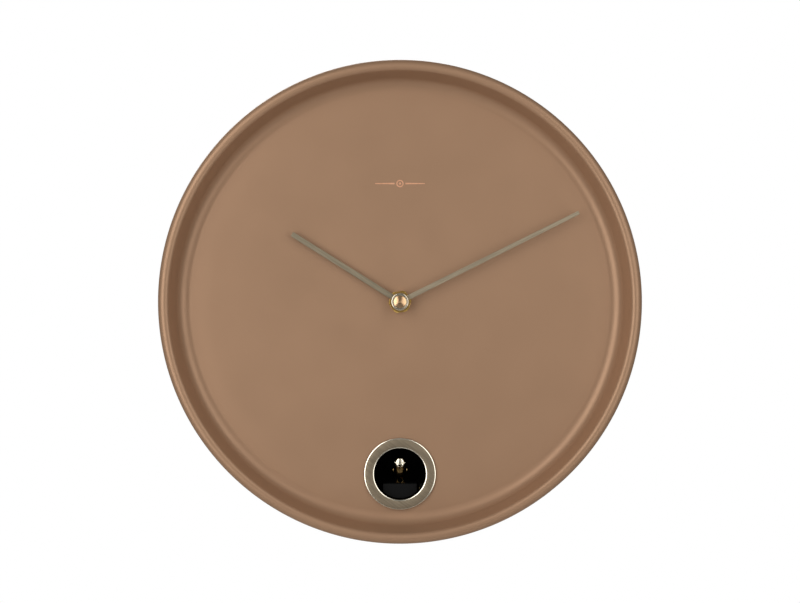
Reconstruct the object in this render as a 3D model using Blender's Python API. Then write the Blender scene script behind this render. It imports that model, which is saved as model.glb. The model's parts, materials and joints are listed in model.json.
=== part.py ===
"""Round wall clock with a cuckoo behind a window below the hands, built as separate named pieces.

Lengths are millimetres until an object is placed, when they become metres. The clock faces -Y, +Z is up
and the wall is the plane y = 0. A depth is a distance from the wall towards the front, so y = -depth.
The world origin is on the hands' axis, in the wall plane.
"""
from math import asin, atan2, ceil, cos, hypot, pi, radians, sin, sqrt

import bmesh
import bpy
from mathutils import Vector

MM = 0.001
RUNNING_GAP = 0.1     # between a shaft and its hole
REST_GAP = 0.05       # between two faces that rest on each other

# Case: one pressed sheet with a dished dial, a rolled rim and an inward flange at the back.
CASE_RADIUS = 150.0
CASE_DEPTH = 55.0
CASE_SIDES = 68
SHEET = 1.0
DIAL_DEPTH = 38.0
DIAL_FLAT_RADIUS = 131.9
FILLET_RADIUS = 8.2
RIM_OUTER = 4.0        # outer half of the rolled rim, from the crest to the side
RIM_INNER = 3.2        # inner half, from the crest to the dish
SHAFT_HOLE_RADIUS = 4.2
FLANGE_INNER_RADIUS = 140.0
FLANGE_DEPTH = 2.6
COVER_THICKNESS = 2.4
COVER_RADIUS = 149.4
COVER_SCREW_RADIUS = 144.5
COVER_SCREW_ANGLES = (45, 135, 225, 315)

# Window with its metal ring, straight below the hands.
WINDOW_Z = -107.5
RING_RADIUS = 22.35
BORE_RADIUS = 16.25
SLEEVE_RADIUS = 17.0
SLEEVE_END = 34.0
RING_THICKNESS = 1.5

# Hands.
MINUTE_LENGTH = 124.5
MINUTE_ANGLE = 63.5
HOUR_LENGTH = 79.5
HOUR_ANGLE = 302.1
HUB_RADIUS = 4.5
HOUR_HAND_DEPTH = 41.6
MINUTE_HAND_DEPTH = 44.4
HAND_THICKNESS = 0.8
HOUR_TUBE_RADIUS = 2.4
HOUR_TUBE_BORE = 1.8
ARBOR_RADIUS = 1.5
ARBOR_TOP = 47.0
CAP_RADIUS = 5.55
NUT_ACROSS_FLATS = 13.0
NUT_CORNER_RADIUS = 7.1  # the corners are turned off to this
NUT_TURN = 8.0         # degrees from a corner straight to the right
NUT_HEIGHT = 2.5
BUSH_RADIUS = 4.0
BUSH_BORE = 2.6

# Quartz movement.
MOVEMENT_SIDE = 56.0
MOVEMENT_BACK = 20.0
MOVEMENT_SPLIT = 29.3
MOVEMENT_FRONT = 36.0
MOVEMENT_WALL = 1.2
WHEEL_THICKNESS = 0.8
HOUR_LAYER = 33.4
CANNON_LAYER = 31.9
CENTRE_LAYER = 30.6
THIRD_LAYER = 29.3
BRIDGE_LAYER = 28.1
SECOND_LAYER = 26.9
STEP_LAYER = 25.6
MAGNET_LAYER = 23.1

# Gear teeth, as fractions of the module (tip and root) and of the pitch (tip width).
ADDENDUM = 0.65
DEDENDUM = 1.2
TIP_WIDTH = 0.12
CENTRE_TEETH = 48
THIRD_TEETH = 45
SECOND_TEETH = 36
STEP_TEETH = 30
TRAIN_PINION_TEETH = 6
TRAIN_MODULE = 0.36
CANNON_TEETH = 12
MINUTE_TEETH = 36
MINUTE_PINION_TEETH = 10
HOUR_TEETH = 40
MOTION_MODULE = 0.35
THIRD_DIRECTION = radians(210)
STEP_DIRECTION = radians(330)
ROTOR_DIRECTION = radians(340)
UP = radians(90)

# Cuckoo module.
BIRD_FLOOR = -114.0
WING_X = 4.2
LEG_X = 1.7
LEG_DEPTH = 24.0
LEG_LENGTH = 3.5
SLED_HALF_WIDTH = 10.5
SLED_BACK = 5.0
SLED_FRONT = 33.3
APRON_RADIUS = 15.4
HOUSING_HALF_WIDTH = 18.5
HOUSING_BACK = 3.0
HOUSING_FRONT = 33.5
HOUSING_TOP = -89.0
HOUSING_BOTTOM = -134.0
HOUSING_WALL = 1.5
ROD_X = -5.0
ROD_Z = -118.6
ROD_RADIUS = 1.25
RACK_MODULE = 0.8
RACK_LINE = -117.2
RACK_PINION_TEETH = 12
DRIVE_DEPTH = 26.2
DRIVE_MODULE = 0.5
DRIVE_TEETH = 30
MOTOR_PINION_TEETH = 10
MOTOR_DIRECTION = radians(168.5)
MOTOR_RADIUS = 7.5
MOTOR_LENGTH = 20.0

# Sound and power.
SPEAKER_X = -70.0
SPEAKER_Z = -32.0
SPEAKER_RADIUS = 25.0
BOARD_X = -79.0
BOARD_Z = 37.0
BOARD_LENGTH = 50.0
BOARD_HEIGHT = 30.0
BOARD_DEPTH = 6.4
BOARD_THICKNESS = 1.6
SLIDER_X = -89.3
BUTTON_X = -69.0
SWITCH_Z = 36.0
BATTERY_X = 72.0
BATTERY_Z = -20.5
BATTERY_LENGTH = 60.0
BATTERY_HEIGHT = 35.0
CELL_RADIUS = 7.1
CELL_LENGTH = 50.0
CELL_SPACING = 15.8
DOOR_LENGTH = 62.2
DOOR_HEIGHT = 37.2
DOOR_GAP = 0.4
KEYHOLE_Z = 105.0
KEYHOLE_RADIUS = 5.0
KEYHOLE_SLOT = 5.0
KEYHOLE_RISE = 10.0
KNOB_OPENING_RADIUS = 13.0
KNOB_RADIUS = 6.5
KNOB_BACK = 5.0
KNOB_FRONT = 16.0
KNOB_FLUTES = 16

# Slot name: colour, metallic, roughness.
MATERIALS = {
    "taupe_paint": ((0.355, 0.235, 0.155), 0.35, 0.38),
    "champagne_metal": ((0.31, 0.27, 0.19), 1.0, 0.32),
    "brass": ((0.78, 0.54, 0.25), 1.0, 0.25),
    "gold": ((0.83, 0.58, 0.24), 1.0, 0.18),
    "steel": ((0.55, 0.55, 0.56), 1.0, 0.3),
    "copper_winding": ((0.6, 0.25, 0.1), 1.0, 0.35),
    "dark_plastic": ((0.018, 0.018, 0.02), 0.0, 0.5),
    "grey_plastic": ((0.08, 0.08, 0.085), 0.0, 0.45),
    "white_plastic": ((0.78, 0.77, 0.73), 0.0, 0.4),
    "rubber": ((0.02, 0.02, 0.02), 0.0, 0.8),
    "board_green": ((0.02, 0.12, 0.06), 0.0, 0.45),
    "cone_paper": ((0.04, 0.04, 0.04), 0.0, 0.9),
    "cell_wrap": ((0.03, 0.03, 0.035), 0.0, 0.3),
    "red_wire": ((0.5, 0.02, 0.02), 0.0, 0.45),
    "black_wire": ((0.015, 0.015, 0.015), 0.0, 0.45),
}


def clear_scene():
    for item in list(bpy.data.objects):
        bpy.data.objects.remove(item)


def make_material(slot):
    colour, metallic, roughness = MATERIALS[slot]
    material = bpy.data.materials.new(slot)
    material.use_nodes = True
    shader = material.node_tree.nodes["Principled BSDF"]
    shader.inputs["Base Color"].default_value = (*colour, 1.0)
    shader.inputs["Metallic"].default_value = metallic
    shader.inputs["Roughness"].default_value = roughness
    return material


# ---------------------------------------------------------------- solids

def solid(bm):
    """Turn a closed bmesh in millimetres into a working object."""
    bmesh.ops.recalc_face_normals(bm, faces=bm.faces)
    mesh = bpy.data.meshes.new("work")
    bm.to_mesh(mesh)
    bm.free()
    result = bpy.data.objects.new("work", mesh)
    bpy.context.scene.collection.objects.link(result)
    return result


def axis_point(axis, a, b, along):
    """A point from plane coordinates: (x, z) and depth for Y, (depth, z) and x for X."""
    if axis == "Y":
        return (a, -along, b)
    return (along, -a, b)


def lathe(profile, sides, axis="Y"):
    """Turn a (radius, along) outline about the axis; one that starts and ends on the axis gets flat ends."""
    bm = bmesh.new()
    on_axis = profile[0][0] == 0
    rings = []
    for radius, along in profile[1:-1] if on_axis else profile:
        rings.append([bm.verts.new(axis_point(axis, a, b, along)) for a, b in circle(radius, sides)])
    pairs = list(zip(rings, rings[1:]))
    if on_axis:
        bm.faces.new(rings[0])
        bm.faces.new(rings[-1])
    else:
        pairs.append((rings[-1], rings[0]))
    for ring, following in pairs:
        for side in range(sides):
            after = (side + 1) % sides
            bm.faces.new((ring[side], ring[after], following[after], following[side]))
    return solid(bm)


def prism(outline, low, high, axis="Y", holes=()):
    """Extrude a plane outline, with any holes, from low to high along the axis."""
    bm = bmesh.new()
    caps = []
    for along in (low, high):
        loops = [[bm.verts.new(axis_point(axis, a, b, along)) for a, b in loop] for loop in (outline, *holes)]
        if holes:
            edges = []
            for loop in loops:
                edges += [bm.edges.new(pair) for pair in zip(loop, loop[1:] + loop[:1])]
            bmesh.ops.triangle_fill(bm, use_beauty=True, edges=edges)
        else:
            bm.faces.new(loops[0])
        caps.append(loops)
    for bottom, top in zip(*caps):
        for index in range(len(bottom)):
            after = (index + 1) % len(bottom)
            bm.faces.new((bottom[index], bottom[after], top[after], top[index]))
    return solid(bm)


def box(x_low, x_high, depth_low, depth_high, z_low, z_high):
    outline = [(x_low, z_low), (x_high, z_low), (x_high, z_high), (x_low, z_high)]
    return prism(outline, depth_low, depth_high)


def cylinder(radius, low, high, sides=16, axis="Y", at=(0, 0), turn=0.0):
    return prism(circle(radius, sides, at, turn), low, high, axis)


def circle(radius, sides, at=(0, 0), turn=0.0):
    angles = [turn + 2 * pi * side / sides for side in range(sides)]
    return [(at[0] + radius * cos(a), at[1] + radius * sin(a)) for a in angles]


def rounded_rectangle(width, height, radius, at=(0, 0), steps=3):
    points = []
    for quarter, (sx, sz) in enumerate(((1, 1), (-1, 1), (-1, -1), (1, -1))):
        centre = (at[0] + sx * (width / 2 - radius), at[1] + sz * (height / 2 - radius))
        for step in range(steps + 1):
            angle = pi / 2 * (quarter + step / steps)
            points.append((centre[0] + radius * cos(angle), centre[1] + radius * sin(angle)))
    return points


def post(radius, height, sides):
    """An upright round post about the origin."""
    bm = bmesh.new()
    for z in (-height / 2, height / 2):
        bm.faces.new([bm.verts.new((x, y, z)) for x, y in circle(radius, sides)])
    bm.verts.ensure_lookup_table()
    for side in range(sides):
        after = (side + 1) % sides
        bm.faces.new((bm.verts[side], bm.verts[after], bm.verts[sides + after], bm.verts[sides + side]))
    return solid(bm)


def shifted(work, at, depth=0.0):
    """Move a working solid in its mesh by (x, z) and a depth."""
    for vertex in work.data.vertices:
        vertex.co += Vector(axis_point("Y", at[0], at[1], depth))
    return work


def apply_boolean(target, tools, operation):
    """Combine the tools with the target one by one and remove them."""
    for tool in tools:
        modifier = target.modifiers.new(operation, "BOOLEAN")
        modifier.operation = operation
        modifier.solver = "EXACT"
        modifier.object = tool
        bpy.context.view_layer.update()
        graph = bpy.context.evaluated_depsgraph_get()
        mesh = bpy.data.meshes.new_from_object(target.evaluated_get(graph))
        target.modifiers.clear()
        target.data = mesh
        bpy.data.objects.remove(tool)
    return target


def join(target, *tools):
    return apply_boolean(target, tools, "UNION")


def cut(target, *tools):
    return apply_boolean(target, tools, "DIFFERENCE")


def place(work, name, slot, at=(0, 0, 0), smooth_angle=35):
    """Name the solid, scale it to metres and put its origin at (x, depth, z)."""
    mesh = work.data
    bm = bmesh.new()
    bm.from_mesh(mesh)
    bmesh.ops.remove_doubles(bm, verts=bm.verts, dist=0.0005)
    bmesh.ops.dissolve_degenerate(bm, edges=bm.edges, dist=0.0005)
    bmesh.ops.triangulate(bm, faces=[face for face in bm.faces if len(face.verts) > 4])
    bmesh.ops.scale(bm, verts=bm.verts, vec=(MM, MM, MM))
    bm.to_mesh(mesh)
    bm.free()
    mesh.name = name
    mesh.materials.clear()
    mesh.materials.append(bpy.data.materials[slot])
    mesh.shade_smooth()
    mesh.set_sharp_from_angle(angle=radians(smooth_angle))
    work.name = name
    work.location = Vector(axis_point("Y", at[0], at[2], at[1])) * MM
    return work


def repeat(original, name, at):
    """Another piece with the same mesh."""
    copy = bpy.data.objects.new(name, original.data)
    bpy.context.scene.collection.objects.link(copy)
    copy.location = Vector(axis_point("Y", at[0], at[2], at[1])) * MM
    return copy


# ---------------------------------------------------------------- gears

def gear_outline(teeth, module, phase=0.0, at=(0, 0)):
    """Pointed teeth with a V-shaped root between each two; phase is the first tooth's angle."""
    pitch_radius = teeth * module / 2
    pitch = 2 * pi / teeth
    points = []
    for tooth in range(teeth):
        centre = phase + tooth * pitch
        tip = pitch_radius + ADDENDUM * module
        root = pitch_radius - DEDENDUM * module
        for radius, turn in ((tip, -TIP_WIDTH / 2), (tip, TIP_WIDTH / 2), (root, 0.5)):
            angle = centre + turn * pitch
            points.append((at[0] + radius * cos(angle), at[1] + radius * sin(angle)))
    return points


def mating_phase(teeth, phase, mate_teeth, direction):
    """Phase of a gear that meshes with a gear of the given phase, which sees it in this direction."""
    return direction + pi - (teeth / mate_teeth) * (phase - direction) + pi / mate_teeth


def offset(direction, distance, start=(0, 0)):
    return (start[0] + distance * cos(direction), start[1] + distance * sin(direction))


def centre_distance(teeth, mate_teeth, module):
    return (teeth + mate_teeth) * module / 2


# ---------------------------------------------------------------- case

def arc(centre, radius, start, end, steps):
    """Points (radius, depth) on an arc between two angles in degrees."""
    points = []
    for step in range(steps + 1):
        angle = radians(start + (end - start) * step / steps)
        points.append((centre[0] + radius * cos(angle), centre[1] + radius * sin(angle)))
    return points


def case_profile():
    fillet = (DIAL_FLAT_RADIUS, DIAL_DEPTH + FILLET_RADIUS)
    crest = CASE_RADIUS - RIM_OUTER
    outer = (crest, CASE_DEPTH - RIM_OUTER)
    inner = (crest, CASE_DEPTH - RIM_INNER)
    across = inner[0] - fillet[0]
    up = inner[1] - fillet[1]
    slope = asin((FILLET_RADIUS + RIM_INNER) / hypot(across, up)) + atan2(up, across)
    slope = slope * 180 / pi
    bend = 1.5
    corner = (CASE_RADIUS - bend, FLANGE_DEPTH + bend)
    front = [(SHAFT_HOLE_RADIUS, DIAL_DEPTH)]
    front += arc(fillet, FILLET_RADIUS, -90, -90 + slope, 4)
    front += arc(inner, RIM_INNER, 90 + slope, 90, 3)
    front += arc(outer, RIM_OUTER, 90, 0, 4)[1:]
    front += arc(corner, bend, 0, -90, 2)
    front += [(FLANGE_INNER_RADIUS, FLANGE_DEPTH), (FLANGE_INNER_RADIUS, FLANGE_DEPTH + SHEET)]
    back = arc(corner, bend - SHEET, -90, 0, 1)
    back += arc(outer, RIM_OUTER - SHEET, 0, 90, 2)
    back += arc(inner, RIM_INNER - SHEET, 90, 90 + slope, 2)[1:]
    back += arc(fillet, FILLET_RADIUS + SHEET, -90 + slope, -90, 2)
    back += [(SHAFT_HOLE_RADIUS, DIAL_DEPTH - SHEET)]
    return front + back


def screw_places():
    for angle in COVER_SCREW_ANGLES:
        yield offset(radians(angle), COVER_SCREW_RADIUS)


def case_shell():
    shell = lathe(case_profile(), CASE_SIDES)
    off_edge = 0.04
    window = cylinder(SLEEVE_RADIUS + 0.3, DIAL_DEPTH - 3, DIAL_DEPTH + 2, 40, "Y", (0, WINDOW_Z), off_edge)
    flange = (FLANGE_DEPTH - 1, FLANGE_DEPTH + 2)
    holes = [cylinder(1.7, *flange, 12, "Y", at, off_edge) for at in screw_places()]
    place(cut(shell, window, *holes), "case_shell", "taupe_paint")


def keyhole_outline():
    """A round hole with a slot above it that the wall screw's neck slides into."""
    half = KEYHOLE_SLOT / 2
    meet = asin(half / KEYHOLE_RADIUS) * 180 / pi
    points = arc((0, KEYHOLE_Z), KEYHOLE_RADIUS, 90 + meet, 450 - meet, 16)
    points += arc((0, KEYHOLE_Z + KEYHOLE_RISE), half, 0, 180, 6)
    return points


def speaker_slots():
    """Five slots, each as long as the speaker's circle allows."""
    for row in (-16, -8, 0, 8, 16):
        half = sqrt((SPEAKER_RADIUS - 4) ** 2 - row ** 2)
        yield rounded_rectangle(2 * half, 3.0, 1.45, (SPEAKER_X, SPEAKER_Z + row), steps=2)


def housing_screw_places():
    return [(-14.0, -94.0), (14.0, -94.0)]


def knob_place():
    first = offset(UP, centre_distance(CANNON_TEETH, MINUTE_TEETH, MOTION_MODULE))
    return offset(UP, centre_distance(MINUTE_TEETH, CANNON_TEETH, MOTION_MODULE), first)


def back_cover():
    edge = 0.6
    profile = [(0, 0), (COVER_RADIUS - edge, 0), (COVER_RADIUS, edge), (COVER_RADIUS, COVER_THICKNESS)]
    cover = lathe(profile + [(0, COVER_THICKNESS)], CASE_SIDES)
    through = (-1, COVER_THICKNESS + 1)
    tools = [prism(keyhole_outline(), *through)]
    tools += [prism(slot, *through) for slot in speaker_slots()]
    tools.append(cylinder(KNOB_OPENING_RADIUS, *through, 32, at=knob_place()))
    tools.append(cylinder(2.6, *through, 16, at=(BUTTON_X, SWITCH_Z)))
    tools.append(prism(rounded_rectangle(8.6, 3.2, 0.6, (SLIDER_X + 2, SWITCH_Z), 1), *through))
    door = rounded_rectangle(DOOR_LENGTH + 2 * DOOR_GAP, DOOR_HEIGHT + 2 * DOOR_GAP, 0.2,
                             (BATTERY_X, BATTERY_Z), 1)
    tools.append(prism(door, *through))
    stepped = [(0, -1), (3.1, -1), (3.1, 1.4), (1.7, 1.4), (1.7, COVER_THICKNESS + 1)]
    for at in [*screw_places(), *housing_screw_places()]:
        tools.append(shifted(lathe(stepped + [(0, COVER_THICKNESS + 1)], 12), at))
    place(cut(cover, *tools), "back_cover", "dark_plastic")


def screw(length):
    """Flat-headed screw with a cross recess, head towards the wall."""
    profile = [(0, 0.15), (2.6, 0.15), (2.8, 0.4), (2.8, 1.2), (1.35, 1.3)]
    body = lathe(profile + [(1.35, length - 1), (0.5, length), (0, length)], 16)
    arm = 1.5
    half = 0.35
    cross = [(half, arm), (-half, arm), (-half, half), (-arm, half), (-arm, -half), (-half, -half),
             (-half, -arm), (half, -arm), (half, -half), (arm, -half), (arm, half), (half, half)]
    return cut(body, prism(cross, -0.5, 0.8))


def screws():
    groups = (("cover_screw", 8.0, list(screw_places())), ("housing_screw", 7.0, housing_screw_places()))
    for group, length, places in groups:
        first = place(screw(length), group + "_1", "steel", (places[0][0], 0, places[0][1]))
        for number, at in enumerate(places[1:], 2):
            repeat(first, f"{group}_{number}", (at[0], 0, at[1]))


# ---------------------------------------------------------------- window ring

def window_ring():
    bottom = DIAL_DEPTH + REST_GAP
    top = bottom + RING_THICKNESS
    profile = [(BORE_RADIUS, SLEEVE_END), (SLEEVE_RADIUS, SLEEVE_END), (SLEEVE_RADIUS, bottom),
               (RING_RADIUS, bottom), (RING_RADIUS, top - 0.45), (RING_RADIUS - 0.4, top),
               (BORE_RADIUS + 0.6, top), (BORE_RADIUS, top - 0.6)]
    place(lathe(profile, 48), "window_ring", "champagne_metal", (0, 0, WINDOW_Z))


def ring_clip():
    back = DIAL_DEPTH - SHEET - REST_GAP
    inner = SLEEVE_RADIUS + 0.3
    profile = [(inner, back - 1), (21, back - 1), (21, back), (inner, back)]
    place(lathe(profile, 24), "ring_clip", "steel", (0, 0, WINDOW_Z))


# ---------------------------------------------------------------- hands and their fixing

def hand_outline(length, root_width, tip_width, angle):
    """A straight strip with a round hub, pointing clockwise from 12 by the angle in degrees."""
    meet = asin(root_width / 2 / HUB_RADIUS)
    tip = [(tip_width / 2, length - 0.35), (tip_width / 2 - 0.35, length)]
    points = arc((0, 0), HUB_RADIUS, 90 + meet * 180 / pi, 450 - meet * 180 / pi, 20)
    points += tip + [(-x, z) for x, z in reversed(tip)]
    turn = radians(angle)
    return [(x * cos(turn) + z * sin(turn), z * cos(turn) - x * sin(turn)) for x, z in points]


def hour_hand():
    outline = hand_outline(HOUR_LENGTH, 3.3, 3.1, HOUR_ANGLE)
    bore = circle(HOUR_TUBE_RADIUS + RUNNING_GAP, 20)
    strip = prism(outline, HOUR_HAND_DEPTH, HOUR_HAND_DEPTH + HAND_THICKNESS, holes=[bore])
    place(strip, "hour_hand", "champagne_metal")


def minute_hand():
    outline = hand_outline(MINUTE_LENGTH, 3.1, 2.4, MINUTE_ANGLE)
    bore = circle(ARBOR_RADIUS + RUNNING_GAP, 16)
    strip = prism(outline, MINUTE_HAND_DEPTH, MINUTE_HAND_DEPTH + HAND_THICKNESS, holes=[bore])
    place(strip, "minute_hand", "champagne_metal")


def cap_nut():
    bottom = MINUTE_HAND_DEPTH + HAND_THICKNESS + REST_GAP
    bore = ARBOR_RADIUS + RUNNING_GAP
    profile = [(bore, bottom), (CAP_RADIUS - 0.4, bottom), (CAP_RADIUS, bottom + 0.4),
               (CAP_RADIUS, bottom + 2.2), (CAP_RADIUS - 0.45, bottom + 2.65), (4.55, bottom + 2.65),
               (4.4, bottom + 2.1), (3.8, bottom + 2.1), (3.65, bottom + 2.75), (3.45, bottom + 2.95),
               (0, bottom + 2.95)]
    inner = (0, ARBOR_TOP + 0.2), (bore, ARBOR_TOP + 0.2)
    place(lathe([*inner, *profile], 28), "cap_nut", "champagne_metal")


def fixing_nut():
    bottom = DIAL_DEPTH + REST_GAP
    top = bottom + NUT_HEIGHT
    corner = NUT_ACROSS_FLATS / 2 / cos(pi / 6)
    hexagon = prism(circle(corner, 6, turn=radians(NUT_TURN)), bottom, top)
    chamfer = lathe([(0, bottom - 1), (NUT_CORNER_RADIUS, bottom - 1), (NUT_CORNER_RADIUS, top - 0.5),
                     (NUT_CORNER_RADIUS - 0.8, top + 0.1), (0, top + 0.1)], 36)
    apply_boolean(hexagon, [chamfer], "INTERSECT")
    bore = cylinder(BUSH_RADIUS + RUNNING_GAP, bottom - 1, top + 1, 24)
    place(cut(hexagon, bore), "fixing_nut", "brass", smooth_angle=20)


def gasket():
    low = MOVEMENT_FRONT + REST_GAP
    high = DIAL_DEPTH - SHEET - REST_GAP
    inner = BUSH_RADIUS + 0.3
    place(lathe([(inner, low), (11, low), (11, high), (inner, high)], 24), "gasket", "rubber")


def threaded_bush():
    low = 34.7
    high = 41.0
    profile = [(BUSH_BORE, low), (BUSH_RADIUS, low), (BUSH_RADIUS, high - 0.3), (BUSH_RADIUS - 0.3, high),
               (BUSH_BORE, high)]
    place(lathe(profile, 24), "threaded_bush", "brass")


# ---------------------------------------------------------------- movement

def tray(low, high, floor_low, floor_high):
    """One half of the movement's housing: a square frame with a floor."""
    inside = MOVEMENT_SIDE - 2 * MOVEMENT_WALL
    body = prism(rounded_rectangle(MOVEMENT_SIDE, MOVEMENT_SIDE, 3), low, high)
    hollow_low = low - 1 if floor_low > low else floor_high
    hollow_high = floor_low if floor_low > low else high + 1
    return cut(body, prism(rounded_rectangle(inside, inside, 2), hollow_low, hollow_high))


def movement_front():
    wall = MOVEMENT_FRONT - MOVEMENT_WALL
    body = tray(MOVEMENT_SPLIT + REST_GAP, MOVEMENT_FRONT, wall, MOVEMENT_FRONT)
    bore = cylinder(BUSH_RADIUS + RUNNING_GAP, wall - 1, MOVEMENT_FRONT + 1, 24)
    place(cut(body, bore), "movement_front", "dark_plastic")


def movement_rear():
    floor = MOVEMENT_BACK + MOVEMENT_WALL
    body = tray(MOVEMENT_BACK, MOVEMENT_SPLIT - REST_GAP, MOVEMENT_BACK, floor)
    shaft = cylinder(1.3, MOVEMENT_BACK - 1, floor + 1, 12, at=knob_place())
    place(cut(body, shaft), "movement_rear", "dark_plastic")


def wheel(teeth, module, phase, layer, thickness=WHEEL_THICKNESS):
    return prism(gear_outline(teeth, module, phase), layer, layer + thickness)


def train_places():
    """Axes of the going train as (x, z): third wheel, step wheel and rotor."""
    third = offset(THIRD_DIRECTION, centre_distance(CENTRE_TEETH, TRAIN_PINION_TEETH, TRAIN_MODULE))
    step = offset(STEP_DIRECTION, centre_distance(SECOND_TEETH, TRAIN_PINION_TEETH, TRAIN_MODULE))
    rotor = offset(ROTOR_DIRECTION, centre_distance(STEP_TEETH, TRAIN_PINION_TEETH, TRAIN_MODULE), step)
    return third, step, rotor


def centre_arbor():
    """Cannon pinion with the arbor that carries the minute hand."""
    low = CANNON_LAYER - 0.4
    rod = lathe([(0, low), (ARBOR_RADIUS, low), (ARBOR_RADIUS, ARBOR_TOP - 0.3),
                 (ARBOR_RADIUS - 0.3, ARBOR_TOP), (0, ARBOR_TOP)], 16)
    pinion = wheel(CANNON_TEETH, MOTION_MODULE, 0, CANNON_LAYER, 1.0)
    place(join(pinion, rod), "centre_arbor", "brass")


def centre_wheel():
    place(wheel(CENTRE_TEETH, TRAIN_MODULE, 0, CENTRE_LAYER), "centre_wheel", "white_plastic")


def hour_wheel():
    """Wheel with the tube that carries the hour hand."""
    minute_distance = centre_distance(CANNON_TEETH, MINUTE_TEETH, MOTION_MODULE)
    module = 2 * minute_distance / (MINUTE_PINION_TEETH + HOUR_TEETH)
    phase = mating_phase(MINUTE_PINION_TEETH, 0, HOUR_TEETH, UP + pi)
    disc = wheel(HOUR_TEETH, module, phase, HOUR_LAYER, 1.0)
    top = HOUR_HAND_DEPTH + HAND_THICKNESS + 0.4
    pipe = cylinder(HOUR_TUBE_RADIUS, HOUR_LAYER + 0.3, top, 20)
    bore = cylinder(HOUR_TUBE_BORE, HOUR_LAYER - 1, top + 1, 20)
    place(cut(join(disc, pipe), bore), "hour_wheel", "white_plastic")


def minute_wheel():
    distance = centre_distance(CANNON_TEETH, MINUTE_TEETH, MOTION_MODULE)
    module = 2 * distance / (MINUTE_PINION_TEETH + HOUR_TEETH)
    body = wheel(MINUTE_TEETH, MOTION_MODULE, minute_phase(), CANNON_LAYER, 1.0)
    pinion = wheel(MINUTE_PINION_TEETH, module, 0, CANNON_LAYER + 0.5, 2.0)
    stud = cylinder(0.5, CANNON_LAYER - 0.3, MOVEMENT_FRONT - MOVEMENT_WALL - 0.05, 10)
    place(join(body, pinion, stud), "minute_wheel", "white_plastic", (0, 0, distance))


def minute_phase():
    return mating_phase(CANNON_TEETH, 0, MINUTE_TEETH, UP)


def set_knob():
    """Fluted knob with a dished end, on a shaft whose pinion meshes with the minute wheel."""
    phase = mating_phase(MINUTE_TEETH, minute_phase(), CANNON_TEETH, UP)
    pinion = wheel(CANNON_TEETH, MOTION_MODULE, phase, CANNON_LAYER, 1.0)
    shaft = cylinder(1.0, 8, CANNON_LAYER + 0.5, 12)
    flutes = []
    for flute in range(KNOB_FLUTES):
        for radius, turn in ((KNOB_RADIUS, -0.25), (KNOB_RADIUS, 0.25), (KNOB_RADIUS - 0.5, 0.5)):
            angle = (flute + turn) * 2 * pi / KNOB_FLUTES
            flutes.append((radius * cos(angle), radius * sin(angle)))
    grip = prism(flutes, KNOB_BACK, KNOB_FRONT)
    dish = lathe([(0, KNOB_BACK - 1), (5.4, KNOB_BACK - 1), (4.6, KNOB_BACK + 0.7), (1.4, KNOB_BACK + 0.9),
                  (1.0, KNOB_BACK + 0.5), (0, KNOB_BACK + 0.5)], 32)
    cut(grip, dish)
    x, z = knob_place()
    place(join(grip, shaft, pinion), "set_knob", "grey_plastic", (x, 0, z))


def third_wheel():
    third, _, _ = train_places()
    distance = centre_distance(CENTRE_TEETH, TRAIN_PINION_TEETH, TRAIN_MODULE)
    module = 2 * distance / (THIRD_TEETH + TRAIN_PINION_TEETH)
    body = wheel(THIRD_TEETH, module, 0, THIRD_LAYER)
    phase = mating_phase(CENTRE_TEETH, 0, TRAIN_PINION_TEETH, THIRD_DIRECTION)
    pinion = wheel(TRAIN_PINION_TEETH, TRAIN_MODULE, phase, THIRD_LAYER + 0.4, 1.7)
    arbor = cylinder(0.5, 27.2, 34.6, 10)
    place(join(body, pinion, arbor), "third_wheel", "white_plastic", (third[0], 0, third[1]))


def second_wheel():
    distance = centre_distance(CENTRE_TEETH, TRAIN_PINION_TEETH, TRAIN_MODULE)
    module = 2 * distance / (THIRD_TEETH + TRAIN_PINION_TEETH)
    phase = mating_phase(THIRD_TEETH, 0, TRAIN_PINION_TEETH, THIRD_DIRECTION + pi)
    body = wheel(SECOND_TEETH, TRAIN_MODULE, 0, SECOND_LAYER)
    pinion = wheel(TRAIN_PINION_TEETH, module, phase, THIRD_LAYER, 0.9)
    arbor = cylinder(0.5, 21.5, THIRD_LAYER + 0.5, 10)
    place(join(body, arbor, pinion), "second_wheel", "white_plastic")


def step_wheel():
    _, step, _ = train_places()
    phase = mating_phase(SECOND_TEETH, 0, TRAIN_PINION_TEETH, STEP_DIRECTION)
    body = wheel(STEP_TEETH, TRAIN_MODULE, 0, STEP_LAYER)
    pinion = wheel(TRAIN_PINION_TEETH, TRAIN_MODULE, phase, STEP_LAYER + 0.4, 1.7)
    arbor = cylinder(0.4, 21.5, 28.8, 10)
    place(join(body, pinion, arbor), "step_wheel", "white_plastic", (step[0], 0, step[1]))


def rotor():
    """Round magnet with the pinion that drives the train."""
    _, _, at = train_places()
    phase = mating_phase(STEP_TEETH, 0, TRAIN_PINION_TEETH, ROTOR_DIRECTION)
    magnet = cylinder(2.5, MAGNET_LAYER, MAGNET_LAYER + 2, 20)
    pinion = wheel(TRAIN_PINION_TEETH, TRAIN_MODULE, phase, MAGNET_LAYER + 1.5, 1.8)
    arbor = cylinder(0.4, 21.5, 26.7, 10)
    place(join(magnet, pinion, arbor), "rotor", "steel", (at[0], 0, at[1]))


def train_bridge():
    """Plate that carries the arbors between the two halves of the train."""
    third, step, _ = train_places()
    holes = [circle(0.7, 10), circle(0.7, 10, third), circle(0.6, 10, step)]
    outline = rounded_rectangle(30, 22, 2, (-1, -3), 2)
    plate = prism(outline, BRIDGE_LAYER, BRIDGE_LAYER + 0.8, holes=holes)
    place(plate, "train_bridge", "dark_plastic")


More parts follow.
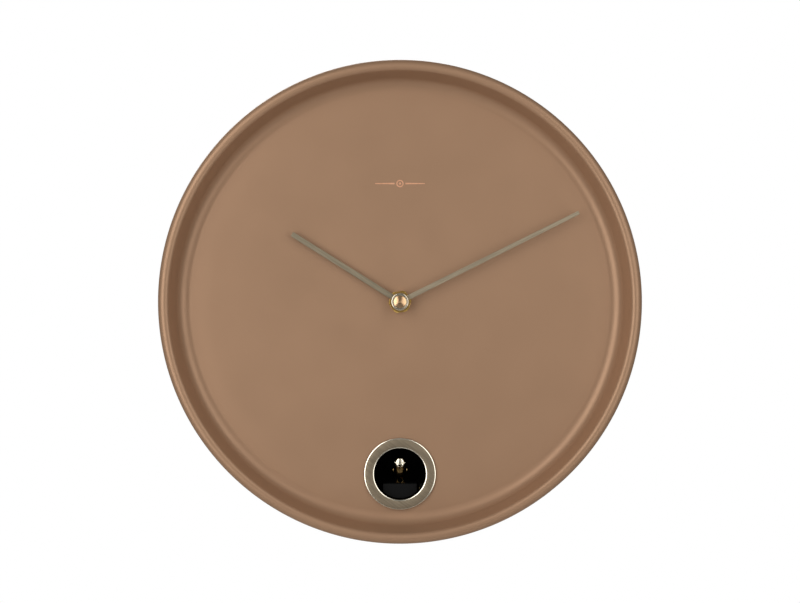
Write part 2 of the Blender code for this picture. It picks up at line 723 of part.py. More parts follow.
def stator():
    _, _, at = train_places()
    outline = rounded_rectangle(14.4, 16.6, 1, (15.8, -8.8), 1)
    plate = prism(outline, MAGNET_LAYER + 0.6, MAGNET_LAYER + 1.4, holes=[circle(2.9, 20, at)])
    place(plate, "stator", "steel")


def coil():
    """Winding between two flanges, along X."""
    half = 11.0
    flange = 0.8
    profile = [(0, -half), (2.8, -half), (2.8, -half + flange), (2.4, -half + flange),
               (2.4, half - flange), (2.8, half - flange), (2.8, half), (0, half)]
    place(lathe(profile, 16, "X"), "coil", "copper_winding", (5, MAGNET_LAYER + 1, -21))


def movement_board():
    plate = prism(rounded_rectangle(14, 46, 1, steps=1), 22.2, 23.0)
    place(plate, "movement_board", "board_green", (-19, 0, 0))


def quartz_crystal():
    place(post(1.0, 6.0, 12), "quartz_crystal", "steel", (-19, 24.1, 11))


# ---------------------------------------------------------------- cuckoo module

def drive_place():
    """Depth and height of the drive gear's axis, under the rack."""
    return (DRIVE_DEPTH, RACK_LINE - RACK_PINION_TEETH * RACK_MODULE / 2)


def motor_place():
    distance = centre_distance(DRIVE_TEETH, MOTOR_PINION_TEETH, DRIVE_MODULE)
    return offset(MOTOR_DIRECTION, distance, drive_place())


def cuckoo_housing():
    inner = HOUSING_HALF_WIDTH - HOUSING_WALL
    floor = HOUSING_BACK + HOUSING_WALL
    body = box(-HOUSING_HALF_WIDTH, HOUSING_HALF_WIDTH, HOUSING_BACK, HOUSING_FRONT,
               HOUSING_BOTTOM, HOUSING_TOP)
    hollow = box(-inner, inner, floor, HOUSING_FRONT + 1,
                 HOUSING_BOTTOM + HOUSING_WALL, HOUSING_TOP - HOUSING_WALL)
    axle = cylinder(0.9, -HOUSING_HALF_WIDTH - 1, HOUSING_HALF_WIDTH + 1, 12, "X", drive_place())
    shaft = cylinder(1.2, inner - 1, HOUSING_HALF_WIDTH + 1, 12, "X", motor_place())
    rod = cylinder(ROD_RADIUS + RUNNING_GAP, HOUSING_BACK - 1, floor + 1, 12, at=(ROD_X, ROD_Z))
    screw_holes = [cylinder(1.7, HOUSING_BACK - 1, floor + 1, 12, at=at) for at in housing_screw_places()]
    place(cut(body, hollow, axle, shaft, rod, *screw_holes), "cuckoo_housing", "dark_plastic")


def guide_rod():
    rod = cylinder(ROD_RADIUS, HOUSING_BACK + 0.3, SLED_FRONT - 2.0, 12)
    place(rod, "guide_rod", "steel", (ROD_X, 0, ROD_Z))


def rack_outline():
    """Teeth pointing down, one of them straight above the drive gear; (depth, z) points."""
    pitch = pi * RACK_MODULE
    tip = RACK_LINE - ADDENDUM * RACK_MODULE
    root = RACK_LINE + DEDENDUM * RACK_MODULE
    points = []
    for tooth in range(-8, 2):
        centre = DRIVE_DEPTH + tooth * pitch
        points.append((centre - pitch / 2, root))
        points.append((centre - TIP_WIDTH / 2 * pitch, tip))
        points.append((centre + TIP_WIDTH / 2 * pitch, tip))
    points.append((centre + pitch / 2, root))
    points.append((centre + pitch / 2, BIRD_FLOOR - 1))
    points.append((points[0][0], BIRD_FLOOR - 1))
    return points


def sled():
    """Platform with a rounded apron, a runner block on the guide rod and a rack underneath."""
    plate = box(-SLED_HALF_WIDTH, SLED_HALF_WIDTH, SLED_BACK, SLED_FRONT, BIRD_FLOOR - 2, BIRD_FLOOR)
    side = asin(SLED_HALF_WIDTH / APRON_RADIUS) * 180 / pi
    apron_outline = [(SLED_HALF_WIDTH, BIRD_FLOOR - 1.5), (-SLED_HALF_WIDTH, BIRD_FLOOR - 1.5)]
    apron_outline += arc((0, WINDOW_Z), APRON_RADIUS, 270 - side, 270 + side, 12)
    apron = prism(apron_outline, SLED_FRONT - 1.5, SLED_FRONT - 0.01)
    block = box(ROD_X - 2.5, ROD_X + 2.5, 7, 20, ROD_Z - 2.1, BIRD_FLOOR - 1.2)
    rack = prism(rack_outline(), 0, 5, "X")
    bore = cylinder(ROD_RADIUS + 0.15, 6, 21, 12, at=(ROD_X, ROD_Z))
    place(cut(join(plate, apron, block, rack), bore), "sled", "grey_plastic")


def loft(sections, sides):
    """Skin ellipses (depth, z, half width, half height) from the tail to the beak."""
    bm = bmesh.new()
    rings = []
    for depth, z, half_width, half_height in sections:
        ring = circle(1, sides)
        rings.append([bm.verts.new((half_width * a, -depth, z + half_height * b)) for a, b in ring])
    bm.faces.new(rings[0])
    bm.faces.new(rings[-1])
    for ring, following in zip(rings, rings[1:]):
        for side in range(sides):
            after = (side + 1) % sides
            bm.faces.new((ring[side], ring[after], following[after], following[side]))
    return solid(bm)


def bird():
    """Small cast bird facing the front, on two short legs; heights are above its floor."""
    body = loft([(11, 5.6, 1.5, 0.4), (14, 5.6, 2.2, 0.7), (17, 5.8, 3.0, 1.6), (20, 6.2, 3.9, 3.0),
                 (23, 6.6, 4.4, 4.2), (25.5, 7.4, 4.3, 4.9), (27.6, 9.0, 3.7, 5.0), (29.2, 11.2, 3.0, 4.5),
                 (31, 12.9, 2.6, 3.6), (32.5, 13.1, 2.1, 2.8), (33.5, 12.6, 1.2, 1.3),
                 (35.4, 11.6, 0.2, 0.15)], 14)
    parts = []
    for side in (-1, 1):
        wing = loft([(12.5, 6.4, 0.4, 0.6), (15, 6.9, 0.8, 1.8), (19, 7.4, 1.1, 3.0), (23, 7.9, 1.0, 3.2),
                     (25.5, 8.4, 0.7, 2.2), (27, 8.8, 0.3, 0.9)], 10)
        parts.append(shifted(wing, (side * WING_X, 0)))
        leg = post(0.55, LEG_LENGTH, 8)
        parts.append(shifted(leg, (side * LEG_X, LEG_LENGTH / 2 + REST_GAP), LEG_DEPTH))
    place(join(body, *parts), "bird", "gold", (0, 0, BIRD_FLOOR), 50)


def drive_gear():
    """Rack pinion and wheel on one arbor along X."""
    depth, z = drive_place()
    pinion_phase = pi / 2 + pi / RACK_PINION_TEETH
    pinion = prism(gear_outline(RACK_PINION_TEETH, RACK_MODULE, pinion_phase), 0.5, 4.5, "X")
    large = prism(gear_outline(DRIVE_TEETH, DRIVE_MODULE), 12.4, 14.2, "X")
    arbor = cylinder(0.8, -16.9 - 1, 16.9 + 1, 12, "X")
    place(join(arbor, pinion, large), "drive_gear", "dark_plastic", (0, depth, z))


def motor_pinion():
    depth, z = motor_place()
    phase = mating_phase(DRIVE_TEETH, 0, MOTOR_PINION_TEETH, MOTOR_DIRECTION)
    pinion = prism(gear_outline(MOTOR_PINION_TEETH, DRIVE_MODULE, phase), 12.2, 14.6, "X")
    shaft = cylinder(0.75, 11.8, 23, 12, "X")
    place(join(pinion, shaft), "motor_pinion", "brass", (0, depth, z))


def motor():
    depth, z = motor_place()
    start = HOUSING_HALF_WIDTH + 0.3
    end = start + MOTOR_LENGTH
    profile = [(0, 23.5), (0.9, 23.5), (0.9, start), (MOTOR_RADIUS - 0.5, start), (MOTOR_RADIUS, start + 0.5),
               (MOTOR_RADIUS, end - 0.5), (MOTOR_RADIUS - 0.5, end), (0, end)]
    place(lathe(profile, 20, "X"), "motor", "steel", (0, depth, z))


# ---------------------------------------------------------------- sound

def sound_board():
    outline = rounded_rectangle(BOARD_LENGTH, BOARD_HEIGHT, 1, steps=1)
    plate = prism(outline, BOARD_DEPTH, BOARD_DEPTH + BOARD_THICKNESS)
    place(plate, "sound_board", "board_green", (BOARD_X, 0, BOARD_Z))


def speaker_frame():
    profile = [(0, 9.4), (10, 9.4), (23.8, 2.8), (SPEAKER_RADIUS, 2.8), (SPEAKER_RADIUS, 4.2), (12, 10.2),
               (12, 17), (0, 17)]
    place(lathe(profile, 24), "speaker_frame", "steel", (SPEAKER_X, 0, SPEAKER_Z))


def speaker_cone():
    profile = [(0, 7.0), (8, 7.0), (9.8, 8.2), (22.3, 2.9), (23.2, 2.9), (9.8, 8.7), (8, 7.4), (0, 7.4)]
    place(lathe(profile, 24), "speaker_cone", "cone_paper", (SPEAKER_X, 0, SPEAKER_Z))


def mode_switch():
    low = COVER_THICKNESS + 0.3
    body = box(-3.4, 7.4, low, BOARD_DEPTH - REST_GAP, -2.6, 2.6)
    channel = box(-1.8, 5.8, low - 1, 4.6, -1.4, 1.4)
    place(cut(body, channel), "mode_switch", "steel", (SLIDER_X, 0, SWITCH_Z))


def mode_slider():
    knob = prism(rounded_rectangle(3.0, 2.2, 0.3, steps=1), 0.4, 4.3)
    place(knob, "mode_slider", "white_plastic", (SLIDER_X, 0, SWITCH_Z))


def test_switch():
    low = COVER_THICKNESS + 0.3
    body = box(-3, 3, low, BOARD_DEPTH - REST_GAP, -3, 3)
    bore = cylinder(2.4, low - 1, 5.6, 16)
    place(cut(body, bore), "test_switch", "dark_plastic", (BUTTON_X, 0, SWITCH_Z))


def test_button():
    profile = [(0, 0.3), (1.8, 0.3), (2.1, 0.6), (2.1, 4.5), (0, 4.5)]
    place(lathe(profile, 32), "test_button", "grey_plastic", (BUTTON_X, 0, SWITCH_Z))


# ---------------------------------------------------------------- power

def battery_box():
    wall = 1.2
    low = COVER_THICKNESS + 0.3
    body = prism(rounded_rectangle(BATTERY_LENGTH, BATTERY_HEIGHT, 2, steps=2), low, 19.5)
    inside = rounded_rectangle(BATTERY_LENGTH - 2 * wall, BATTERY_HEIGHT - 2 * wall, 1, steps=1)
    place(cut(body, prism(inside, low - 1, 19.5 - wall)), "battery_box", "dark_plastic",
          (BATTERY_X, 0, BATTERY_Z))


def cells():
    half = CELL_LENGTH / 2
    profile = [(0, -half), (CELL_RADIUS - 0.4, -half), (CELL_RADIUS, -half + 0.4),
               (CELL_RADIUS, half - 1.9), (CELL_RADIUS - 0.5, half - 1.4), (2.7, half - 1.4), (2.7, half),
               (0, half)]
    depth = 10.8
    first = (BATTERY_X, depth, BATTERY_Z + CELL_SPACING / 2)
    cell = place(lathe(profile, 20, "X"), "cell_1", "cell_wrap", first)
    other = repeat(cell, "cell_2", (BATTERY_X, depth, BATTERY_Z - CELL_SPACING / 2))
    other.rotation_euler = (0, 0, pi)


def contact_strip():
    """Plate that joins the two cells at one end of the box."""
    strip = box(0, 0.5, 7, 15, -12, 12)
    place(strip, "contact_strip", "steel", (BATTERY_X + BATTERY_LENGTH / 2 - 2.4, 0, BATTERY_Z))


def battery_door():
    """Lid hinged on its rounded lower edge; its origin is on that edge's axis."""
    half = 1.0
    outline = arc((0, 0), half, 180, 360, 6) + [(half, DOOR_HEIGHT - half), (-half, DOOR_HEIGHT - half)]
    lid = prism(outline, -DOOR_LENGTH / 2, DOOR_LENGTH / 2, "X")
    place(lid, "battery_door", "dark_plastic", (BATTERY_X, half + 0.2, BATTERY_Z - DOOR_HEIGHT / 2 + half))


# ---------------------------------------------------------------- leads

LEAD_RADIUS = 0.6

# Each lead's own route as (x, depth, z) points, from one solder joint to the other.
LEAD_ROUTES = {
    "battery_lead_red": [(41.4, 6, -9), (34, 5, -10), (20, 4.2, -12), (0, 4.2, -14), (-25, 4.2, -8),
                         (-42, 4.6, 12), (-47, 6, 26), (-53.2, 7.2, 30)],
    "battery_lead_black": [(41.4, 6, -12), (34, 5, -13), (20, 4.2, -15), (0, 4.2, -17), (-26, 4.2, -11),
                           (-44, 4.6, 9), (-49, 6, 23), (-53.2, 7.2, 26)],
    "speaker_lead_red": [(-68, 5.5, -7.4), (-68, 6.5, 0), (-68, 7, 10), (-68, 7.2, 21.2)],
    "speaker_lead_black": [(-72, 5.5, -7.4), (-72, 6.5, 0), (-72, 7, 10), (-72, 7.2, 21.2)],
    "motor_lead_red": [(39.8, 17, -118), (43, 15, -115), (42, 10, -95), (32, 8, -72), (8, 8, -45),
                       (-22, 8, -25), (-38, 8, 8), (-44, 8, 34), (-53.2, 7.2, 38)],
    "motor_lead_black": [(39.8, 17, -121), (46, 15, -117), (45, 10, -93), (34, 8, -69), (10, 8, -42),
                         (-19, 8, -22), (-34, 8, 10), (-41, 8, 38), (-53.2, 7.2, 42)],
    "movement_lead_red": [(-19, 19.3, 20), (-21, 16, 22), (-32, 13, 34), (-44, 9, 44), (-53.2, 7.2, 46)],
    "movement_lead_black": [(-16, 19.3, 24), (-18, 16, 27), (-30, 13, 40), (-43, 9, 49), (-53.2, 7.2, 50)],
}


def smooth_route(points, steps=2):
    """A Catmull-Rom curve through the route's points."""
    vectors = [Vector(axis_point("Y", x, z, depth)) for x, depth, z in points]
    padded = [vectors[0]] + vectors + [vectors[-1]]
    route = []
    for index in range(len(vectors) - 1):
        a, b, c, d = padded[index:index + 4]
        for step in range(steps):
            t = step / steps
            route.append(0.5 * (2 * b + (c - a) * t + (2 * a - 5 * b + 4 * c - d) * t ** 2
                                + (3 * b - a - 3 * c + d) * t ** 3))
    return route + [vectors[-1]]


def lead(name, points):
    curve = bpy.data.curves.new(name, "CURVE")
    curve.dimensions = "3D"
    curve.bevel_depth = LEAD_RADIUS * MM
    curve.bevel_resolution = 1
    curve.render_resolution_u = 0
    curve.use_fill_caps = True
    route = smooth_route(points)
    spline = curve.splines.new("POLY")
    spline.points.add(len(route) - 1)
    for point, place_mm in zip(spline.points, route):
        point.co = (*(place_mm * MM), 1)
    slot = "red_wire" if name.endswith("red") else "black_wire"
    curve.materials.append(bpy.data.materials[slot])
    bpy.context.scene.collection.objects.link(bpy.data.objects.new(name, curve))


def build():
    clear_scene()
    for slot in MATERIALS:
        make_material(slot)
    builders = (
        case_shell, back_cover, screws, window_ring, ring_clip,
        hour_hand, minute_hand, cap_nut, fixing_nut, gasket, threaded_bush,
        movement_front, movement_rear, centre_arbor, centre_wheel, hour_wheel, minute_wheel, set_knob,
        third_wheel, second_wheel, step_wheel, rotor, train_bridge, stator, coil, movement_board,
        quartz_crystal,
        cuckoo_housing, guide_rod, sled, bird, drive_gear, motor_pinion, motor,
        sound_board, speaker_frame, speaker_cone, mode_switch, mode_slider, test_switch, test_button,
        battery_box, cells, contact_strip, battery_door,
    )
    for builder in builders:
        builder()
    for name, points in LEAD_ROUTES.items():
        lead(name, points)


build()
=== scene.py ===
"""Looks of the cuckoo wall clock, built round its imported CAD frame.

Lengths are millimetres until a mesh is written, when they become metres. The clock faces -Y and +Z is up.
A depth is a distance from the wall plane y = 0 towards the front, so y = -depth.
"""
import json
from math import asin, atan2, cos, hypot, pi, radians, sin, sqrt, tan

import bmesh
import bpy
from mathutils import Matrix, Vector

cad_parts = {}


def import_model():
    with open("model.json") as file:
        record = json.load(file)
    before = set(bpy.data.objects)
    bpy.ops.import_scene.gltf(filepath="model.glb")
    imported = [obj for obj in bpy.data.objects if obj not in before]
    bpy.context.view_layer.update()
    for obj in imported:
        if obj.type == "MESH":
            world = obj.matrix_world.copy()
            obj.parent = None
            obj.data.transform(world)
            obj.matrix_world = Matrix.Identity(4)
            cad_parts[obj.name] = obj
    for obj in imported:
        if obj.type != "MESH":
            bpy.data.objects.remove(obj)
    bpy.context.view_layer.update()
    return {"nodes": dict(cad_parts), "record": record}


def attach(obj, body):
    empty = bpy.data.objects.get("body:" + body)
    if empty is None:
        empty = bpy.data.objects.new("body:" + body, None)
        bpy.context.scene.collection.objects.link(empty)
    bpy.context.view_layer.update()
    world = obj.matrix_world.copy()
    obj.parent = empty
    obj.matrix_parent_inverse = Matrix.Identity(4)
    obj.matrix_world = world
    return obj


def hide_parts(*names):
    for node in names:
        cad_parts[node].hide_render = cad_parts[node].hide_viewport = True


MM = 0.001

# Case. HAIR keeps the looks just inside the CAD's box; from EDGE_START the dial falls slightly.
CASE_RADIUS = 150.0
CASE_DEPTH = 55.0
HAIR = 0.002
SHEET = 1.0
DIAL_DEPTH = 38.0
DIAL_FLAT_RADIUS = 131.9
FILLET_RADIUS = 8.2
EDGE_START = 116.0
EDGE_TILT = 4.5
RIM_OUTER = 4.0
RIM_INNER = 3.2
SHAFT_HOLE_RADIUS = 4.2
DIAL_CENTRE_RADIUS = 60.0
SKIRT_BEND = 1.5
FLANGE_INNER_RADIUS = 140.0
FLANGE_DEPTH = 2.6
COVER_THICKNESS = 2.4
COVER_RADIUS = 149.4
COVER_SCREW_RADIUS = 144.5
COVER_SCREW_ANGLES = (45, 135, 225, 315)

# Window ring.
WINDOW_Z = -107.5
RING_RADIUS = 22.35
BORE_RADIUS = 16.25
SLEEVE_RADIUS = 17.0
SLEEVE_END = 34.0
RING_BACK = 38.05
RING_FRONT = 39.55
RING_BEVEL = 0.55
RING_BEVEL_FALL = 0.19

# Printed mark below 12.
MARK_Z = 73.8
MARK_FILM = 0.04
MARK_RING_OUTER = 2.3
MARK_RING_INNER = 1.55
MARK_DOT = 0.75
MARK_LINE_START = 3.4
MARK_LINE_END = 15.5

# Hands; the widths are at the root and at the tip.
MINUTE_LENGTH = 124.5
MINUTE_ANGLE = 63.5
MINUTE_WIDTHS = (3.1, 2.4)
MINUTE_BORE = 1.6
MINUTE_HAND_DEPTH = 44.4
HOUR_LENGTH = 79.5
HOUR_ANGLE = 302.1
HOUR_WIDTHS = (3.3, 3.1)
HOUR_BORE = 2.5
HOUR_HAND_DEPTH = 41.6
HUB_RADIUS = 4.5
HAND_THICKNESS = 0.8
TIP_CORNER = 0.15

# Cap nut and the nut behind the hands.
CAP_BACK = 45.25
CAP_HEIGHT = 2.95
CAP_RADIUS = 5.55
CAP_LIP_RADIUS = 4.15
CAP_CONE_RADIUS = 3.85
CAP_BORE_END = 47.2
NUT_BACK = 38.05
NUT_HEIGHT = 2.5
NUT_ACROSS_FLATS = 13.0
NUT_CORNER_RADIUS = 7.1
NUT_BORE_RADIUS = 4.1
NUT_TURN = 8.0

# Bird; heights are above its floor.
BIRD_FLOOR = -114.0
BIRD_NECK = 10.2
WING_X = 4.2
LEG_X = 1.7
LEG_DEPTH = 24.0
LEG_TOP = 3.5
TOE_LENGTH = 2.0
TOE_ANGLES = (-28, 0, 28)
SKIN_VOXEL = 0.13

# Back.
SPEAKER_X = -70.0
SPEAKER_Z = -32.0
SPEAKER_RADIUS = 25.0
SPEAKER_MARGIN = 4.0
SPEAKER_ROWS = (-16, -8, 0, 8, 16)
SPEAKER_SLOT = 3.0
SWITCH_Z = 36.0
SLIDER_X = -89.3
SLIDER_TRAVEL = 4.0
SLIDER_OPENING = (8.6, 3.2)
BUTTON_X = -69.0
BUTTON_OPENING_RADIUS = 2.6
BATTERY_X = 72.0
BATTERY_Z = -20.5
CELL_BAND = 83.5
CELL_BAND_BLUR = 0.3
DOOR_LENGTH = 62.2
DOOR_HEIGHT = 37.2
DOOR_HALF_THICKNESS = 1.0
DOOR_BACK = 0.2
DOOR_GAP = 0.4
THUMB_DROP = 7.0
THUMB_WIDTH = 22.0
THUMB_HEIGHT = 8.0
THUMB_DEPTH = 0.9
GRIP_ROWS = (-2, 0, 2)
GRIP_WIDTH = 15.0
KEYHOLE_Z = 105.0
KEYHOLE_RADIUS = 5.0
KEYHOLE_SLOT = 5.0
KEYHOLE_RISE = 10.0
KNOB_Z = 16.8
KNOB_OPENING_RADIUS = 13.0
HOUSE_SCREWS = ((-14.0, -94.0), (14.0, -94.0))
SCREW_SEAT_RADIUS = 3.1
SCREW_SEAT_DEPTH = 1.4
SCREW_HOLE_RADIUS = 1.7
LABEL_Z = -56.0
LABEL_WIDTH = 54.0
LABEL_HEIGHT = 30.0
LABEL_CORNER = 2.0
LABEL_RECESS = 0.3
LABEL_GAP = 0.3
BORDER_INSET = 1.5
BORDER_LINE = 0.35

# Metal colours. The two hands' colours are one champagne: the hour hand's is darkened as painted shade and
# the minute hand's is lightened as painted light, for how each catches the lamps.
CHAMPAGNE = (0.235, 0.190, 0.132)
HOUR_METAL_PAINTED_SHADE = (0.262, 0.221, 0.154)
MINUTE_METAL_PAINTED_LIGHT = (0.336, 0.278, 0.196)
GOLD = (0.94, 0.76, 0.46)

# Camera: a long lens straight in front, level with the hands' axis.
CAMERA_X = 0.02
CAMERA_Z = 0.16
CAMERA_DISTANCE = 1850.0
LENS = 130.6

# Floor, in metres, and the strength of the white that it adds to its own look.
FLOOR_RADIUS = 6.0
FLOOR_Z = -1.2
FLOOR_LIFT = 0.32

# Lights: azimuth to the right and elevation in degrees, distance and size in metres, power in watts.
LIGHTS = {
    "left": (-38, 9, 1.3, (0.85, 1.6), 13.3),
    "right": (38, 9, 1.3, (0.85, 1.6), 8.2),
    "behind": (195, 28, 2.4, (1.6, 1.2), 20),
}

# Grey of the even light from all round.
SURROUNDINGS = 0.22


# ---------------------------------------------------------------- solids

def axis_point(axis, a, b, along):
    """A point from plane coordinates: (x, z) and depth for Y, (depth, z) and x for X."""
    if axis == "Y":
        return Vector((a, -along, b)) * MM
    return Vector((along, -a, b)) * MM


def new_piece(name, bm, smooth_angle=35):
    bmesh.ops.recalc_face_normals(bm, faces=bm.faces)
    mesh = bpy.data.meshes.new(name)
    bm.to_mesh(mesh)
    bm.free()
    piece = bpy.data.objects.new(name, mesh)
    bpy.context.scene.collection.objects.link(piece)
    smooth(piece, smooth_angle)
    return piece


def smooth(piece, angle=35):
    piece.data.shade_smooth()
    piece.data.set_sharp_from_angle(angle=radians(angle))


def lathe(name, profile, sides, centre=(0, 0), axis="Y"):
    """Turn a (radius, along) outline; one that starts and ends on the axis gets flat ends."""
    bm = bmesh.new()
    on_axis = profile[0][0] == 0
    rings = []
    for radius, along in profile[1:-1] if on_axis else profile:
        points = [(centre[0] + a, centre[1] + b) for a, b in circle(radius, sides)]
        rings.append([bm.verts.new(axis_point(axis, a, b, along)) for a, b in points])
    pairs = list(zip(rings, rings[1:]))
    if on_axis:
        bm.faces.new(rings[0])
        bm.faces.new(rings[-1])
    else:
        pairs.append((rings[-1], rings[0]))
    for ring, following in pairs:
        for side in range(sides):
            after = (side + 1) % sides
            bm.faces.new((ring[side], ring[after], following[after], following[side]))
    return new_piece(name, bm)


def prism(name, outline, low, high, axis="Y", holes=()):
    """Extrude a plane outline, with any holes, from low to high along the axis."""
    bm = bmesh.new()
    caps = []
    for along in (low, high):
        loops = [[bm.verts.new(axis_point(axis, a, b, along)) for a, b in loop] for loop in (outline, *holes)]
        if holes:
            edges = []
            for loop in loops:
                edges += [bm.edges.new(pair) for pair in zip(loop, loop[1:] + loop[:1])]
            bmesh.ops.triangle_fill(bm, use_beauty=True, edges=edges)
        else:
            bm.faces.new(loops[0])
        caps.append(loops)
    for bottom, top in zip(*caps):
        for index in range(len(bottom)):
            after = (index + 1) % len(bottom)
            bm.faces.new((bottom[index], bottom[after], top[after], top[index]))
    return new_piece(name, bm)


def circle(radius, sides, at=(0, 0), turn=0.0):
    angles = [turn + 2 * pi * side / sides for side in range(sides)]
    return [(at[0] + radius * cos(a), at[1] + radius * sin(a)) for a in angles]


def arc(centre, radius, start, end, steps):
    """Points on an arc between two angles in degrees."""
    angles = [radians(start + (end - start) * step / steps) for step in range(steps + 1)]
    return [(centre[0] + radius * cos(a), centre[1] + radius * sin(a)) for a in angles]


def rounded_rectangle(width, height, radius, at=(0, 0), steps=4):
    points = []
    for quarter, (sx, sz) in enumerate(((1, 1), (-1, 1), (-1, -1), (1, -1))):
        centre = (at[0] + sx * (width / 2 - radius), at[1] + sz * (height / 2 - radius))
        points += arc(centre, radius, 90 * quarter, 90 * (quarter + 1), steps)
    return points


def apply_modifiers(piece):
    bpy.context.view_layer.update()
    graph = bpy.context.evaluated_depsgraph_get()
    mesh = bpy.data.meshes.new_from_object(piece.evaluated_get(graph))
    piece.modifiers.clear()
    piece.data = mesh
    return piece


def combine(target, tools, operation="DIFFERENCE"):
    """Apply a boolean with each tool and remove the tools."""
    for tool in tools:
        modifier = target.modifiers.new(operation, "BOOLEAN")
        modifier.operation = operation
        modifier.solver = "EXACT"
        modifier.object = tool
        apply_modifiers(target)
        bpy.data.objects.remove(tool)
    smooth(target)
    return target


def soften(piece, width, segments=3, angle=35, clamp=True):
    """Round the piece's sharp edges by a width in millimetres."""
    modifier = piece.modifiers.new("soften", "BEVEL")
    modifier.width = width * MM
    modifier.segments = segments
    modifier.limit_method = "ANGLE"
    modifier.angle_limit = radians(angle)
    modifier.harden_normals = True
    modifier.use_clamp_overlap = clamp
    return apply_modifiers(piece)


def weigh_normals(piece):
    """Keep large flat faces flat where they meet small rounded edges."""
    modifier = piece.modifiers.new("normals", "WEIGHTED_NORMAL")
    modifier.keep_sharp = True
    apply_modifiers(piece)


# ---------------------------------------------------------------- materials

class Surface:
    """A node material under construction."""

    def __init__(self, name, colour, metallic, roughness):
        self.material = bpy.data.materials.new(name)
        self.material.use_nodes = True
        self.tree = self.material.node_tree
        self.shader = self.tree.nodes["Principled BSDF"]
        self.shader.inputs["Base Color"].default_value = (*colour, 1)
        self.shader.inputs["Metallic"].default_value = metallic
        self.shader.inputs["Roughness"].default_value = roughness
        self.place = self.node("ShaderNodeTexCoord").outputs["Object"]
        self.normal = None

    def node(self, kind, **values):
        made = self.tree.nodes.new(kind)
        for key, value in values.items():
            setattr(made, key, value)
        return made

    def link(self, output, socket):
        self.tree.links.new(output, socket)

    def mapped(self, scale, rotation=(0, 0, 0), location=(0, 0, 0)):
        mapping = self.node("ShaderNodeMapping")
        mapping.inputs["Scale"].default_value = scale
        mapping.inputs["Rotation"].default_value = rotation
        mapping.inputs["Location"].default_value = location
        self.link(self.place, mapping.inputs["Vector"])
        return mapping.outputs["Vector"]

    def noise(self, scale, detail=3.0, vector=None, roughness=0.5):
        made = self.node("ShaderNodeTexNoise")
        made.inputs["Scale"].default_value = scale
        made.inputs["Detail"].default_value = detail
        made.inputs["Roughness"].default_value = roughness
        self.link(vector or self.place, made.inputs["Vector"])
        return made.outputs["Fac"]

    def spread(self, value, low, high, from_low=0.3, from_high=0.7):
        made = self.node("ShaderNodeMapRange")
        made.inputs["From Min"].default_value = from_low
        made.inputs["From Max"].default_value = from_high
        made.inputs["To Min"].default_value = low
        made.inputs["To Max"].default_value = high
        self.link(value, made.inputs["Value"])
        return made.outputs["Result"]

    def ramp(self, value, stops):
        made = self.node("ShaderNodeValToRGB")
        ramp = made.color_ramp
        ramp.elements[0].position, ramp.elements[0].color = stops[0][0], (*stops[0][1], 1)
        ramp.elements[1].position, ramp.elements[1].color = stops[-1][0], (*stops[-1][1], 1)
        for position, colour in stops[1:-1]:
            ramp.elements.new(position).color = (*colour, 1)
        self.link(value, made.inputs["Fac"])
        return made.outputs["Color"]

    def colour_from(self, value, low, high):
        self.link(self.ramp(value, ((0.3, low), (0.7, high))), self.shader.inputs["Base Color"])

    def roughness_from(self, value, low, high):
        self.link(self.spread(value, low, high), self.shader.inputs["Roughness"])

    def bump(self, value, strength, distance):
        """Add a bump, with its height in millimetres, on top of any earlier one."""
        made = self.node("ShaderNodeBump")
        made.inputs["Strength"].default_value = strength
        made.inputs["Distance"].default_value = distance * MM
        self.link(value, made.inputs["Height"])
        if self.normal:
            self.link(self.normal, made.inputs["Normal"])
        self.normal = made.outputs["Normal"]
        self.link(self.normal, self.shader.inputs["Normal"])


def shade(colour, factor):
    return tuple(channel * factor for channel in colour)


def taupe_paint():
    """Satin paint with a fine powder texture, faint mottling and slightly uneven gloss."""
    colour = (0.355, 0.211, 0.125)
    paint = Surface("look_taupe_paint", colour, 0.38, 0.42)
    mottle = paint.noise(9, 5)
    paint.colour_from(mottle, shade(colour, 0.97), shade(colour, 1.03))
    paint.roughness_from(paint.noise(45, 4), 0.40, 0.46)
    paint.shader.inputs["Specular IOR Level"].default_value = 0.3
    paint.bump(paint.noise(260, 2), 0.25, 0.03)
    paint.bump(paint.noise(1500, 3), 0.35, 0.012)
    return paint.material


def brushed_metal(name, colour, roughness, direction):
    """Metal with a straight brushed grain along a direction, in degrees clockwise from 12."""
    metal = Surface(name, colour, 1.0, roughness)
    metal.place = metal.mapped((1, 1, 1), (0, -radians(direction), 0))
    lines = metal.noise(1, 4, metal.mapped((1700, 1700, 40)), 0.75)
    broad = metal.noise(1, 3, metal.mapped((900, 900, 25)))
    metal.colour_from(lines, shade(colour, 0.74), shade(colour, 1.26))
    metal.roughness_from(broad, roughness - 0.05, roughness + 0.06)
    metal.bump(lines, 0.35, 0.01)
    return metal.material


def turned_metal(name, colour, roughness, anisotropy=0.0, centre=(0, 0)):
    """Metal turned on a lathe: fine rings about the axis."""
    metal = Surface(name, colour, 1.0, roughness)
    location = (-centre[0] * MM, 0, -centre[1] * MM)
    vector = metal.mapped((1, 1, 1), location=location)
    rings = metal.node("ShaderNodeTexWave", wave_type="RINGS", rings_direction="Y", wave_profile="SIN")
    rings.inputs["Scale"].default_value = 1500
    rings.inputs["Distortion"].default_value = 1.2
    rings.inputs["Detail"].default_value = 3
    metal.link(vector, rings.inputs["Vector"])
    patches = metal.noise(300, 3)
    metal.colour_from(patches, shade(colour, 0.93), shade(colour, 1.05))
    metal.roughness_from(patches, roughness - 0.03, roughness + 0.04)
    metal.bump(rings.outputs["Fac"], 0.25, 0.006)
    if anisotropy:
        tangent = metal.node("ShaderNodeTangent", direction_type="RADIAL", axis="Y")
        metal.shader.inputs["Anisotropic"].default_value = anisotropy
        metal.shader.inputs["Anisotropic Rotation"].default_value = 0.25
        metal.link(tangent.outputs["Tangent"], metal.shader.inputs["Tangent"])
    return metal.material


def plating(gold):
    """Mirror-like plating with slight waviness and a few duller patches."""
    gold.roughness_from(gold.noise(500, 4), 0.06, 0.16)
    gold.bump(gold.noise(420, 2), 0.3, 0.05)
    return gold.material


